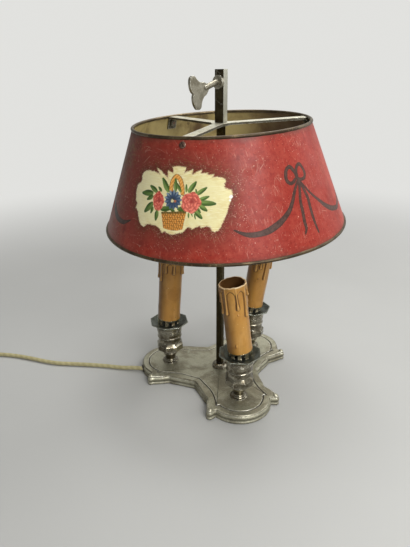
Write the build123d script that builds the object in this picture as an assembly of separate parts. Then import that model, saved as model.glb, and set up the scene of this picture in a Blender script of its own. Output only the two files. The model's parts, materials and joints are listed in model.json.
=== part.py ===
from build123d import *

import os
from math import atan2, cos, degrees, radians, sin, tan

# Bouillotte lamp: three wired candle lights on a trefoil base, under a painted sheet-metal shade
# that slides on a flat centre rod and is held by a butterfly key.
#
# Millimetres. +Z is up. The origin is on the table, on the rod's axis. The key points along -Y.
# Azimuths are degrees from -Y towards +X, so the three lobes stand at 60, 180 and -60.

# ---------------------------------------------------------------- driving dimensions
LOBES = 3
STEP = 360 / LOBES
FIRST_LOBE_AZIMUTH = 60
CANDLES = {"right": 60, "left": -60, "rear": 180}
RUNNING = 0.3            # free gap between pieces that move past each other
SEAT_GAP = 0.1           # radial gap of a fixed piece in its hole

# base plate
PLATE_HEIGHT = 9.85
PLATE_SKIN = 2.6
PLATE_WALL = 3.0
SOCKET_CIRCLE = 59.6     # radius of the circle through the three sockets
LOBE_RADIUS = 33.8
LOBE_HALF_ANGLE = 65
CUSP_RADIUS = 43.3
GROOVE_LOBE_RADIUS = 25.7
GROOVE_HALF_ANGLE = 72
GROOVE_CUSP_RADIUS = 35.2
GROOVE_WIDTH = 1.3
GROOVE_DEPTH = 0.8
HORN = [(76.2, 36.4), (73.9, 40.3), (69.6, 39.0)]     # scrolled horn: out along it, tip, back in
HORN_BACK = (60.6, 36.4)
HORN_NOTCH = (52.0, 33.0)
LOBE_SHOULDER = (48.4, 34.3)
LOBE_WAIST = (38.2, 35.2)
HORN_EYE = (72.6, 36.6)
HORN_EYE_RADIUS = 2.2
HORN_EYE_RISE = 0.5
HORN_EYE_ROOT = 1.0      # how far an eye reaches into the plate
GROOVE_JOG = (67.8, 28.2)
GROOVE_WAIST = [(58.4, 26.1), (51.0, 25.3), (42.0, 25.3), (33.5, 26.9)]
EDGE_FOOT = [(0.6, -40), (1.5, 0), (0.7, 45), (0.8, 0), (0.7, -45)]   # height, taper in degrees
EDGE_SHOULDER = [(1.3, 18), (0.7, 55)]

# underside
FELT_THICKNESS = 1.2
COVER_THICKNESS = 0.8
COVER_GAP = 0.3
COVER_BOSS_CIRCLE = 32.0
COVER_BOSS_RADIUS = 4.0
SCREW_RADIUS = 1.5
SCREW_HEAD_RADIUS = 2.8
SCREW_HEAD_HEIGHT = 1.0
SCREW_SLOT = 0.7
COVER_SCREW_GRIP = 3.4

# centre rod
ROD_WIDTH = 8.2
ROD_THICKNESS = 3.5
ROD_TOP = 323.5
TENON_RADIUS = 3.0
COLLAR_RADIUS = 8.9
COLLAR_HEIGHT = 4.5
COLLAR_LIP = 1.6         # its top edge, out from the rod's wide side
COLLAR_PROFILE = [(0.0, 0.0), (0.0, 1.4), (-0.9, 2.0), (-0.6, 2.8), (-1.6, 3.8)]   # from its edge
NUT_HEIGHT = 2.4
WASHER_HEIGHT = 0.8
ROD_NUT_FLATS = 10.0
WASHER_RADIUS = 6.4

# candle sockets, heights above the plate
SOCKET_HEIGHT = 50.2
FOOT_RADIUS = 9.3
NECK_RADIUS = 6.0
BULB_RADIUS = 7.9
KNOB_HALF_FLATS = 14.4
KNOB_BOTTOM = 13.6       # where the bulb's profile ends
KNOB_BAND_LOW = 18.0
KNOB_BAND_HIGH = 24.4
KNOB_TOP = 28.4
KNOB_NECK = 0.6          # how far the knob's ends stay inside the bulb and the cup
CUP_LOW_RADIUS = 13.0
CUP_TOP_RADIUS = 14.4
CUP_WALL = 1.8
CUP_FLOOR = 33.0
CUP_LAP = 1.5            # the cup reaches this far down into the knob
# turned profiles as (outwards from the named radius, height above the plate)
FOOT_PROFILE = [(0.0, 0.0), (0.0, 0.9), (-0.6, 1.6), (-2.1, 1.9), (-2.4, 2.7)]
NECK_PROFILE = [(0.0, 3.2), (-0.1, 4.4), (0.3, 6.0), (1.1, 8.0)]
BULB_PROFILE = [(-0.2, 9.6), (0.0, 11.2), (-0.5, 12.8), (-1.3, 13.6)]
CUP_PROFILE = [
    (0.0, 29.0), (0.3, 33.6), (0.9, 34.0), (0.9, 35.0), (0.4, 35.4), (0.9, 40.0), (0.6, 40.5),
    (1.1, 41.0),
]
CUP_RIM_PROFILE = [(-0.4, 46.5), (0.0, 47.5)]
CUP_INNER_TAPER = 1.4
NIPPLE_RADIUS = 3.5
NIPPLE_BORE = 2.5
NIPPLE_BELOW_NUT = 0.2
NIPPLE_NUT_FLATS = 10.0
NIPPLE_NUT_HEIGHT = 2.4

# drip pans
PAN_HALF_FLATS = 20.7
PAN_RISE = 3.25
PAN_EDGE = 1.1
PAN_FLOOR = 1.25
PAN_RECESS_RADIUS = 15.4
PAN_RECESS_MOUTH = 19.6
PAN_FOOT_INSET = 0.3

# candle seats, lampholders and sleeves, each set leaning a little: angle, azimuth it leans to
LEANS = {"right": (7.0, -34.0), "left": (4.4, 130.0), "rear": (8.3, 130.0)}
SEAT_LIFT = 5.8
JAM_NUT_HEIGHT = 1.6
SEAT_RADIUS = 12.6
SEAT_DISC = 1.2
SEAT_COLLAR_HEIGHT = 6.5
SEAT_COLLAR_WALL = 1.0
SEAT_SLOTS = 8
SEAT_SLOT_WIDTH = 2.2
HOLDER_RADIUS = 9.9
HOLDER_HEIGHT = 36.0
HOLDER_BASE = 12.0
SHELL_RADIUS = 7.5
SHELL_WALL = 0.5
SHELL_LENGTH = 20.0
THREAD_IN_HOLDER = 7.0
CONTACT_WIDTH = 4.0
CONTACT_HEIGHT = 4.5
CONTACT_THICKNESS = 0.5
CONTACT_RISE = 2.5
SLEEVE_RADIUS = 13.0
SLEEVE_BORE = 11.75
SLEEVE_LENGTH = 73.8
SLEEVE_LIP = 0.5
SLEEVE_LIP_HEIGHT = 2.0

# shade, its height measured along its own axis
SHADE_TOP_RADIUS = 83.9
SHADE_BOTTOM_RADIUS = 119.5
SHADE_HEIGHT = 93.9
SHADE_SHEET = 0.6
SHADE_TILT = 3.64        # the rear side sits higher
RIM_RADIUS = 1.5
HUB_HEIGHT = 281.3
HUB_RADIUS = 9.5
ARM_AZIMUTH = 19.15
ARM_WIDTH = 10.0
ARM_THICKNESS = 2.2
TAB_LENGTH = 13.0
SHADE_SCREW_DROP = 5.0
SHADE_SCREW_HEAD = 1.4
SHADE_SCREW_END = 0.5    # how far a screw stands through its nut
SHADE_NUT_FLATS = 5.6
SHADE_NUT_HEIGHT = 2.0

# slider and key
SLIDER_WALL = 1.0
SLIDER_SLACK = 0.15
SLIDER_BELOW_HUB = 1.0
KEY_RISE = 35.4          # from the shade's hub to the key's axis
SLIDER_ABOVE_KEY = 10.9
BOSS_RADIUS = 5.9
BOSS_THICKNESS = 2.6
KEY_STEM_RADIUS = 2.5
KEY_FIT = 0.05
KEY_TIP_GAP = 0.1
KEY_DROOP = 17.0
KEY_BEND_OUT = 1.5       # from the boss to the bend in the stem
KEY_BEND_RADIUS = 6.0
KEY_STEM_LENGTH = 14.0
KEY_PLATE = 2.6
KEY_STEM_LAP = 3.0       # the stem runs this far into the plate
# half of the butterfly plate, as (along the stem from its bend, across)
KEY_NECK = (13.0, 2.8)
KEY_SHOULDER = [(17.2, 5.6), (19.6, 6.0)]
KEY_WING = [(23.2, 8.3), (26.0, 12.6), (29.6, 14.5), (33.0, 12.6), (34.6, 7.4), (33.8, 2.0)]
KEY_DIP = 32.4

# mains cord
CORD_DIAMETER = 4.8
CORD_EXIT_SIDE = 16.7    # across the left lobe's own axis
CORD_EXIT_HEIGHT = 4.5
BUSH_WALL = 0.8
BUSH_LIP = 0.9
CORD_START = 85.5        # from the lamp's axis, along the left lobe
CORD_FIRST_RUN = 12.0
CORD_GRIP = 4.0          # how far the cord reaches into the switch and the plug
CORE_RADIUS = 0.9        # one lead inside the lamp
SHEATH_RADIUS = 1.5      # the pair of cores between the bush and the splice
LEAD_HEIGHT = 3.2
LEAD_BEND = 6.0
LEAD_FOOT_BEND = 2.5
LEAD_SPREAD = 2.5        # between the two leads on the splice's left end
REAR_LEAD_START = 4.5
REAR_LEAD_CORNER = (11.0, 4.0)
SPLICE = (16.0, 9.0, 4.6)
SPLICE_Y = -16.0

# switch on the cord
SWITCH_LENGTH = 56.0
SWITCH_WIDTH = 24.0
SWITCH_HEIGHT = 17.0
SWITCH_WALL = 2.0
SWITCH_CORNER = 6.0
SWITCH_EDGE = 2.0
ROCKER_LENGTH = 15.0
ROCKER_WIDTH = 9.0
ROCKER_ENDS = 3.5        # height of the rocker's ends over its pin, and its depth below it
ROCKER_MIDDLE = 2.6
ROCKER_UNDERCUT = 2.0
ROCKER_TILT = 12.0
ROCKER_SWING_GAP = 1.2
ROCKER_PIN_RADIUS = 1.2
ROCKER_PIN_DROP = 1.0    # from the cover's inner face to the pin's axis
LUG_LENGTH = 7.0
LUG_THICKNESS = 2.2
LUG_BELOW_PIN = 3.2
TERMINAL = (12.0, 5.0, 5.0)
TERMINAL_OFFSET = 5.0

# plug
PLUG_WIDTH = 35.0
PLUG_HEIGHT = 13.5
PLUG_LENGTH = 33.0
PLUG_NECK = 9.0
PLUG_SHOULDER = 15.0
PLUG_CORNER = 3.0
PIN_END_RADIUS = 1.0
RELIEF_LENGTH = 22.0     # the tapered sleeve on the cord behind the plug
RELIEF_RADIUS = 4.2
RELIEF_END_RADIUS = 3.1
PIN_RADIUS = 2.0
PIN_LENGTH = 19.0
PIN_SPACING = 18.6

# derived heights
COVER_TOP = FELT_THICKNESS + COVER_THICKNESS
HOLLOW_TOP = PLATE_HEIGHT - PLATE_SKIN
SOCKET_TOP = PLATE_HEIGHT + SOCKET_HEIGHT
PAN_FLOOR_TOP = SOCKET_TOP + PAN_FLOOR
PIVOT_HEIGHT = PAN_FLOOR_TOP + SEAT_LIFT
SHADE_SLOPE = degrees(atan2(SHADE_BOTTOM_RADIUS - SHADE_TOP_RADIUS, SHADE_HEIGHT))
KEY_HEIGHT = HUB_HEIGHT + KEY_RISE
SLIDER_TOP = KEY_HEIGHT + SLIDER_ABOVE_KEY
SLIDER_INNER = (ROD_WIDTH + 2 * SLIDER_SLACK, ROD_THICKNESS + 2 * SLIDER_SLACK)
SLIDER_OUTER = (SLIDER_INNER[0] + 2 * SLIDER_WALL, SLIDER_INNER[1] + 2 * SLIDER_WALL)

CORD_RADIUS = CORD_DIAMETER / 2
UP = (Align.CENTER, Align.CENTER, Align.MIN)
DOWN = (Align.CENTER, Align.CENTER, Align.MAX)
OUTWARDS = (Align.MIN, Align.CENTER, Align.CENTER)

parts = {}


# ---------------------------------------------------------------- places
def at(azimuth, radius=0.0, height=0.0):
    """A place on a circle about the rod, with local +X pointing outwards."""
    turn = radians(azimuth)
    return Location((radius * sin(turn), -radius * cos(turn), height), (0, 0, azimuth - 90))


def on_socket(azimuth, height=0.0):
    return at(azimuth, SOCKET_CIRCLE, height)


def leaning(name):
    """The frame of one candle, from its pivot: local +Z runs up the leaning candle."""
    angle, towards = LEANS[name]
    base = on_socket(CANDLES[name], PIVOT_HEIGHT).position
    turn = Location((0, 0, 0), (0, 0, towards - 90))
    return Location(base) * turn * Location((0, 0, 0), (0, angle, 0)) * turn.inverse()


def shade_frame():
    """The shade's own frame: its origin at the hub, tilted with the shade."""
    return Location((0, 0, HUB_HEIGHT), (SHADE_TILT, 0, 0))


def polar(radius, angle):
    return (radius * cos(radians(angle)), radius * sin(radians(angle)))


def turned(points):
    """A solid of revolution about Z from (radius, height) corners."""
    return revolve(make_face(Polyline(*[(r, 0, z) for r, z in points], close=True)), Axis.Z)


def stepped(radius, profile):
    """Corners of a turned profile from a radius and the steps out of it."""
    return [(radius + out, height) for out, height in profile]


def round_bar(path, radius):
    """A round section swept along a path of straight runs and arcs."""
    return sweep(Plane(origin=path @ 0, z_dir=path % 0) * Circle(radius), path)


def tube(outer, inner, length):
    return Cylinder(outer, length, align=UP) - Cylinder(inner, length, align=UP)


def hexagon_nut(flats, bore, height):
    body = extrude(RegularPolygon(flats / 2, 6, major_radius=False), height)
    return body - Cylinder(bore, height, align=UP)


def slotted_screw(head_radius, head_height, shank_radius, shank_length):
    """A pan-head screw along local +Z, its head's seat at z = 0 and its shank above."""
    head = Cylinder(head_radius, head_height, align=DOWN)
    slot = Pos(0, 0, -head_height) * Box(2 * head_radius, SCREW_SLOT, SCREW_SLOT, align=UP)
    return head - slot + Cylinder(shank_radius, shank_length, align=UP)


# ---------------------------------------------------------------- base plate
def trefoil(sector):
    """A closed face from the edges of one lobe, drawn about local +X, and turned to each lobe."""
    edges = []
    for lobe in range(LOBES):
        turn = FIRST_LOBE_AZIMUTH - 90 + STEP * lobe
        edges += [edge.rotate(Axis.Z, turn) for edge in sector]
    return Face(Wire(edges))


def mirrored(half):
    return half + [edge.mirror(Plane.XZ) for edge in half]


def plate_outline():
    """Lobe arc, scrolled horn, notch and the slow curve to the cusp between two lobes."""
    x, y = polar(LOBE_RADIUS, LOBE_HALF_ANGLE)
    half = [
        Line((SOCKET_CIRCLE + x, y), HORN[0]),
        ThreePointArc(*HORN),
        ThreePointArc(HORN[-1], HORN_BACK, HORN_NOTCH),
        Line(HORN_NOTCH, LOBE_SHOULDER),
        ThreePointArc(LOBE_SHOULDER, LOBE_WAIST, polar(CUSP_RADIUS, STEP / 2)),
    ]
    lobe = CenterArc((SOCKET_CIRCLE, 0), LOBE_RADIUS, -LOBE_HALF_ANGLE, 2 * LOBE_HALF_ANGLE)
    return trefoil([lobe] + mirrored(half))


def groove_outline():
    """The engraved line that follows the edge inside its border band."""
    x, y = polar(GROOVE_LOBE_RADIUS, GROOVE_HALF_ANGLE)
    half = [
        Line((SOCKET_CIRCLE + x, y), GROOVE_JOG),
        ThreePointArc(GROOVE_JOG, *GROOVE_WAIST[:2]),
        ThreePointArc(*GROOVE_WAIST[1:]),
        Line(GROOVE_WAIST[-1], polar(GROOVE_CUSP_RADIUS, STEP / 2)),
    ]
    lobe = CenterArc(
        (SOCKET_CIRCLE, 0), GROOVE_LOBE_RADIUS, -GROOVE_HALF_ANGLE, 2 * GROOVE_HALF_ANGLE
    )
    return trefoil([lobe] + mirrored(half))


def inset(face, amount):
    return face if amount == 0 else offset(face, -amount).faces()[0]


def layered(face, layers, start=0.0, height=0.0):
    """A stack of slabs, each with its own edge taper, from an outline inset by start."""
    solid = None
    depth = start
    for thickness, taper in layers:
        slab = Pos(0, 0, height) * extrude(inset(face, depth), thickness, taper=taper)
        solid = slab if solid is None else solid + slab
        depth += thickness * tan(radians(taper))
        height += thickness
    return solid


def cord_frame():
    """The cord's way out of the base: local +X runs outwards along the left lobe's axis."""
    return at(CANDLES["left"]) * Pos(0, CORD_EXIT_SIDE, CORD_EXIT_HEIGHT)


def along_cord(radius, start, end):
    """A round bar on the cord's way out, between two distances from the lamp's axis."""
    bar = Cylinder(radius, end - start, align=UP)
    return cord_frame() * Location((start, 0, 0), (0, 90, 0)) * bar


def cover_boss_places():
    return [at(FIRST_LOBE_AZIMUTH + STEP * (lobe + 0.5), COVER_BOSS_CIRCLE) for lobe in range(LOBES)]


def base_plate(outline, hollow):
    edge = EDGE_FOOT + [(0, 0)] + EDGE_SHOULDER
    band = PLATE_HEIGHT - sum(height for height, taper in edge)
    foot_inset = -sum(height * tan(radians(taper)) for height, taper in EDGE_FOOT)
    plate = layered(outline, EDGE_FOOT + [(band, 0)] + EDGE_SHOULDER, start=foot_inset)
    floor = PLATE_HEIGHT - GROOVE_DEPTH
    groove = groove_outline()
    trench = layered(groove, [(GROOVE_DEPTH, -35)], start=-GROOVE_WIDTH / 2, height=floor)
    field = layered(groove, [(GROOVE_DEPTH, 35)], start=GROOVE_WIDTH / 2, height=floor)
    plate = plate - (trench - field)
    plate -= hollow
    for place in cover_boss_places():
        boss = Cylinder(COVER_BOSS_RADIUS, HOLLOW_TOP - COVER_TOP, align=UP)
        plate += place * Pos(0, 0, COVER_TOP) * boss
        plate -= place * Cylinder(SCREW_RADIUS, COVER_TOP + COVER_SCREW_GRIP, align=UP)
    plate -= Cylinder(TENON_RADIUS + SEAT_GAP, PLATE_HEIGHT, align=UP)
    for azimuth in CANDLES.values():
        plate -= on_socket(azimuth) * Cylinder(NIPPLE_RADIUS + SEAT_GAP, PLATE_HEIGHT, align=UP)
    for lobe in range(LOBES):
        frame = at(FIRST_LOBE_AZIMUTH + STEP * lobe)
        for side in (-1, 1):
            eye = Cylinder(HORN_EYE_RADIUS, HORN_EYE_RISE + HORN_EYE_ROOT, align=UP)
            plate += frame * Pos(HORN_EYE[0], side * HORN_EYE[1], PLATE_HEIGHT - HORN_EYE_ROOT) * eye
    reach = SOCKET_CIRCLE + LOBE_RADIUS
    return plate - along_cord(CORD_DIAMETER / 2 + BUSH_WALL, SOCKET_CIRCLE, reach)


def make_base():
    outline = plate_outline()
    hollow = extrude(inset(outline, PLATE_WALL), HOLLOW_TOP)
    lining = inset(outline, PLATE_WALL + COVER_GAP)
    plate = base_plate(outline, hollow)
    cover = Pos(0, 0, FELT_THICKNESS) * extrude(lining, COVER_THICKNESS)
    felt = extrude(lining, FELT_THICKNESS)
    screws = []
    for place in cover_boss_places():
        cover -= place * Cylinder(SCREW_RADIUS + SEAT_GAP, COVER_TOP, align=UP)
        felt -= place * Cylinder(SCREW_HEAD_RADIUS + COVER_GAP, FELT_THICKNESS, align=UP)
        grip = COVER_THICKNESS + COVER_SCREW_GRIP
        screw = slotted_screw(SCREW_HEAD_RADIUS, SCREW_HEAD_HEIGHT, SCREW_RADIUS, grip)
        screws.append(place * Pos(0, 0, FELT_THICKNESS) * screw)
    parts["base_plate"] = plate
    parts["base_cover"] = cover
    parts["base_felt"] = felt
    parts["cover_screws"] = Compound(screws)
    return outline, hollow


# ---------------------------------------------------------------- rod
def make_rod():
    blade = Pos(0, 0, PLATE_HEIGHT) * Box(
        ROD_WIDTH, ROD_THICKNESS, ROD_TOP - PLATE_HEIGHT, align=UP
    )
    tenon_bottom = HOLLOW_TOP - WASHER_HEIGHT - NUT_HEIGHT - NIPPLE_BELOW_NUT
    tenon = Pos(0, 0, tenon_bottom) * Cylinder(TENON_RADIUS, PLATE_HEIGHT - tenon_bottom, align=UP)
    parts["centre_rod"] = blade + tenon
    side = stepped(COLLAR_RADIUS, COLLAR_PROFILE)
    profile = [(0, 0)] + side + [(ROD_WIDTH / 2 + COLLAR_LIP, COLLAR_HEIGHT), (0, COLLAR_HEIGHT)]
    slot = Box(ROD_WIDTH + SEAT_GAP, ROD_THICKNESS + SEAT_GAP, COLLAR_HEIGHT, align=UP)
    parts["rod_collar"] = Pos(0, 0, PLATE_HEIGHT) * (turned(profile) - slot)
    washer = tube(WASHER_RADIUS, TENON_RADIUS + SEAT_GAP, WASHER_HEIGHT)
    parts["rod_washer"] = Pos(0, 0, HOLLOW_TOP - WASHER_HEIGHT) * washer
    nut = hexagon_nut(ROD_NUT_FLATS, TENON_RADIUS, NUT_HEIGHT)
    parts["rod_nut"] = Pos(0, 0, HOLLOW_TOP - WASHER_HEIGHT - NUT_HEIGHT) * nut


# ---------------------------------------------------------------- candle lights
def socket():
    """One baluster: foot ring, neck, bulb, eight-sided knob and a hollow cup."""
    bore = NIPPLE_RADIUS + SEAT_GAP
    stem = stepped(FOOT_RADIUS, FOOT_PROFILE) + stepped(NECK_RADIUS, NECK_PROFILE)
    stem += stepped(BULB_RADIUS, BULB_PROFILE)
    stem = turned([(bore, 0)] + stem + [(bore, KNOB_BOTTOM)])
    bottom = Pos(0, 0, KNOB_BOTTOM) * octagon(BULB_RADIUS - KNOB_NECK)
    low = Pos(0, 0, KNOB_BAND_LOW) * octagon(KNOB_HALF_FLATS)
    high = Pos(0, 0, KNOB_BAND_HIGH) * octagon(KNOB_HALF_FLATS)
    top = Pos(0, 0, KNOB_TOP) * octagon(CUP_LOW_RADIUS - KNOB_NECK)
    knob = loft([bottom, low], ruled=True)
    knob += extrude(low, KNOB_BAND_HIGH - KNOB_BAND_LOW)
    knob += loft([high, top], ruled=True)
    inner = CUP_TOP_RADIUS - CUP_WALL
    cup = [(bore, KNOB_TOP - CUP_LAP), (CUP_LOW_RADIUS, KNOB_TOP - CUP_LAP)]
    cup += stepped(CUP_LOW_RADIUS, CUP_PROFILE) + stepped(CUP_TOP_RADIUS, CUP_RIM_PROFILE)
    cup += [(CUP_TOP_RADIUS, SOCKET_HEIGHT), (inner, SOCKET_HEIGHT)]
    cup += [(inner - CUP_INNER_TAPER, CUP_FLOOR), (bore, CUP_FLOOR)]
    body = stem + knob + turned(cup)
    return body - Cylinder(bore, SOCKET_HEIGHT, align=UP)


def octagon(half_flats):
    return Plane.XY * RegularPolygon(half_flats, 8, major_radius=False)


def drip_pan():
    """An eight-sided pan with a round recess, standing on the cup."""
    under = octagon(CUP_TOP_RADIUS - PAN_FOOT_INSET)
    edge = Pos(0, 0, PAN_RISE - PAN_EDGE) * octagon(PAN_HALF_FLATS)
    pan = loft([under, edge], ruled=True) + extrude(edge, PAN_EDGE)
    recess = Pos(0, 0, PAN_FLOOR) * Cone(
        PAN_RECESS_RADIUS, PAN_RECESS_MOUTH, PAN_RISE - PAN_FLOOR, align=UP
    )
    return pan - recess - Cylinder(NIPPLE_RADIUS + SEAT_GAP, PAN_RISE, align=UP)


def candle_seat():
    """A slotted crown: a disc that carries the sleeve and a collar that centres it."""
    collar_radius = SLEEVE_BORE - RUNNING
    seat = tube(SEAT_RADIUS, NIPPLE_RADIUS + SEAT_GAP, SEAT_DISC)
    wall = tube(collar_radius, collar_radius - SEAT_COLLAR_WALL, SEAT_COLLAR_HEIGHT)
    seat += Pos(0, 0, SEAT_DISC) * wall
    slot = Box(SEAT_RADIUS, SEAT_SLOT_WIDTH, SEAT_DISC + SEAT_COLLAR_HEIGHT,
               align=(Align.MIN, Align.CENTER, Align.MIN))
    for index in range(SEAT_SLOTS):
        turn = Rot(0, 0, (index + 0.5) * 360 / SEAT_SLOTS)
        seat -= turn * Pos(HOLDER_RADIUS + SEAT_GAP, 0, 0) * slot
    return seat


def lampholder():
    """The insulating body, screwed on the nipple and open at the top."""
    holder = Cylinder(HOLDER_RADIUS, HOLDER_HEIGHT, align=UP)
    holder -= Cylinder(NIPPLE_RADIUS, THREAD_IN_HOLDER, align=UP)
    holder -= Cylinder(CORE_RADIUS, HOLDER_BASE, align=UP)
    return holder - Pos(0, 0, HOLDER_BASE) * Cylinder(SHELL_RADIUS, HOLDER_HEIGHT, align=UP)


def screw_shell():
    ring = tube(SHELL_RADIUS, SHELL_RADIUS - SHELL_WALL, SHELL_LENGTH)
    return Pos(0, 0, HOLDER_HEIGHT - SHELL_LENGTH) * ring


def centre_contact():
    """A bent strip on the lampholder's floor, fed by the lead below it."""
    foot = Box(CONTACT_HEIGHT, CONTACT_WIDTH, CONTACT_THICKNESS, align=UP)
    rise = Pos(CONTACT_HEIGHT / 2, 0, 0) * Box(
        CONTACT_THICKNESS, CONTACT_WIDTH, CONTACT_RISE, align=UP
    )
    top = Pos(0, 0, CONTACT_RISE) * Box(
        CONTACT_HEIGHT + CONTACT_THICKNESS, CONTACT_WIDTH, CONTACT_THICKNESS, align=UP
    )
    return Pos(0, 0, HOLDER_BASE) * (foot + rise + top)


def candle_sleeve():
    sleeve = tube(SLEEVE_RADIUS, SLEEVE_BORE, SLEEVE_LENGTH)
    lip = tube(SLEEVE_RADIUS + SLEEVE_LIP, SLEEVE_BORE, SLEEVE_LIP_HEIGHT)
    return sleeve + Pos(0, 0, SLEEVE_LENGTH - SLEEVE_LIP_HEIGHT) * lip


def nipple(name):
    """The threaded tube, bent at the pivot so that the candle above it leans."""
    lower = HOLLOW_TOP - NIPPLE_NUT_HEIGHT - NIPPLE_BELOW_NUT
    upright = on_socket(CANDLES[name], lower)
    length = PIVOT_HEIGHT - lower
    upper = SEAT_DISC + THREAD_IN_HOLDER
    joint = leaning(name)

    def bar(radius, lengthen):
        solid = upright * Pos(0, 0, -lengthen) * Cylinder(radius, length + lengthen, align=UP)
        solid += joint * Cylinder(radius, upper + lengthen, align=UP)
        return solid + joint * Sphere(radius)

    return bar(NIPPLE_RADIUS, 0) - bar(NIPPLE_BORE, 1)


def lead_route(name):
    """From the splice to the socket's axis, up the nipple and along the leaning part."""
    foot = on_socket(CANDLES[name], LEAD_HEIGHT).position
    bend = leaning(name).position
    end = (leaning(name) * Pos(0, 0, SEAT_DISC + HOLDER_BASE)).position
    half_length = SPLICE[0] / 2
    starts = {
        "right": [Vector(half_length, SPLICE_Y, LEAD_HEIGHT)],
        "left": [Vector(-half_length, SPLICE_Y + LEAD_SPREAD, LEAD_HEIGHT)],
        "rear": [
            Vector(REAR_LEAD_START, SPLICE_Y + SPLICE[1] / 2, LEAD_HEIGHT),
            Vector(*REAR_LEAD_CORNER, LEAD_HEIGHT),
        ],
    }
    return starts[name] + [foot, bend, end]


def make_candles():
    nuts = []
    jam_nuts = []
    leads = []
    for name, azimuth in CANDLES.items():
        pivot = leaning(name)
        on_disc = pivot * Pos(0, 0, SEAT_DISC)
        parts["socket_" + name] = on_socket(azimuth, PLATE_HEIGHT) * socket()
        parts["drip_pan_" + name] = on_socket(azimuth, SOCKET_TOP) * drip_pan()
        parts["nipple_" + name] = nipple(name)
        parts["candle_seat_" + name] = pivot * candle_seat()
        parts["lampholder_" + name] = on_disc * lampholder()
        parts["screw_shell_" + name] = on_disc * screw_shell()
        parts["candle_sleeve_" + name] = on_disc * candle_sleeve()
        nut = hexagon_nut(NIPPLE_NUT_FLATS, NIPPLE_RADIUS, NIPPLE_NUT_HEIGHT)
        nuts.append(on_socket(azimuth, HOLLOW_TOP - NIPPLE_NUT_HEIGHT) * nut)
        jam_nut = hexagon_nut(NIPPLE_NUT_FLATS, NIPPLE_RADIUS, JAM_NUT_HEIGHT)
        jam_nuts.append(on_socket(azimuth, PAN_FLOOR_TOP) * jam_nut)
        route = lead_route(name)
        bends = [LEAD_FOOT_BEND, LEAD_BEND]
        if len(route) > 4:
            bends = [LEAD_BEND] + bends
        leads.append(round_bar(FilletPolyline(*route, radius=bends), CORE_RADIUS))
    parts["nipple_nuts"] = Compound(nuts)
    parts["jam_nuts"] = Compound(jam_nuts)
    parts["centre_contacts"] = Compound(
        [leaning(name) * Pos(0, 0, SEAT_DISC) * centre_contact() for name in CANDLES]
    )
    parts["inner_leads"] = Compound(leads)


# ---------------------------------------------------------------- shade
def cone_radius(drop):
    """The shade's outer radius at a distance below its top edge."""
    return SHADE_TOP_RADIUS + drop * tan(radians(SHADE_SLOPE))


def frustum(shrink):
    """The solid cone inside the shade's outer face, moved inwards along its normal."""
    side = shrink / cos(radians(SHADE_SLOPE))
    return turned([
        (0, -SHADE_HEIGHT), (SHADE_BOTTOM_RADIUS - side, -SHADE_HEIGHT),
        (SHADE_TOP_RADIUS - side, 0), (0, 0),
    ])


def rim(edge_radius, height, inwards):
    """A rolled edge: a round bead with the sheet let into it. inwards is -1 where the sheet drops."""
    sheet = SHADE_SHEET / cos(radians(SHADE_SLOPE))
    middle = edge_radius - sheet / 2
    run = -inwards * 2 * RIM_RADIUS * tan(radians(SHADE_SLOPE))
    depth = inwards * 2 * RIM_RADIUS
    bead = Plane.XZ * Pos(middle, height) * Circle(RIM_RADIUS)
    slot = make_face(Polyline(
        (edge_radius, 0, height), (edge_radius + run, 0, height + depth),
        (edge_radius + run - sheet, 0, height + depth), (edge_radius - sheet, 0, height), close=True,
    ))
    return revolve(bead - slot, Axis.Z)


def wall_frame(drop, azimuth):
    """On the shade's outer face, with local +Z along the inward normal."""
    place = Location((cone_radius(drop), 0, -drop), (0, -90 - SHADE_SLOPE, 0))
    return Location((0, 0, 0), (0, 0, azimuth - 90)) * place


def spider(inside):
    """Hub and three strips, each bent down along the shade's wall."""
    wings = Pos(0, 0, -ARM_THICKNESS) * Cylinder(HUB_RADIUS, ARM_THICKNESS, align=UP)
    reach = cone_radius(RIM_RADIUS) - RIM_RADIUS
    tab_end = cone_radius(TAB_LENGTH)
    inner = (SHADE_SHEET + ARM_THICKNESS) / cos(radians(SHADE_SLOPE))
    side = [
        (0, -ARM_THICKNESS), (0, 0), (reach, 0), (tab_end + ARM_THICKNESS, -TAB_LENGTH),
        (tab_end - inner, -TAB_LENGTH), (cone_radius(ARM_THICKNESS) - inner, -ARM_THICKNESS),
    ]
    strip = extrude(
        make_face(Polyline(*[(x, 0, z) for x, z in side], close=True)), ARM_WIDTH / 2, both=True
    )
    for arm in range(LOBES):
        wings += Rot(0, 0, ARM_AZIMUTH - 90 + STEP * arm) * strip
    return wings & inside


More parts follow.
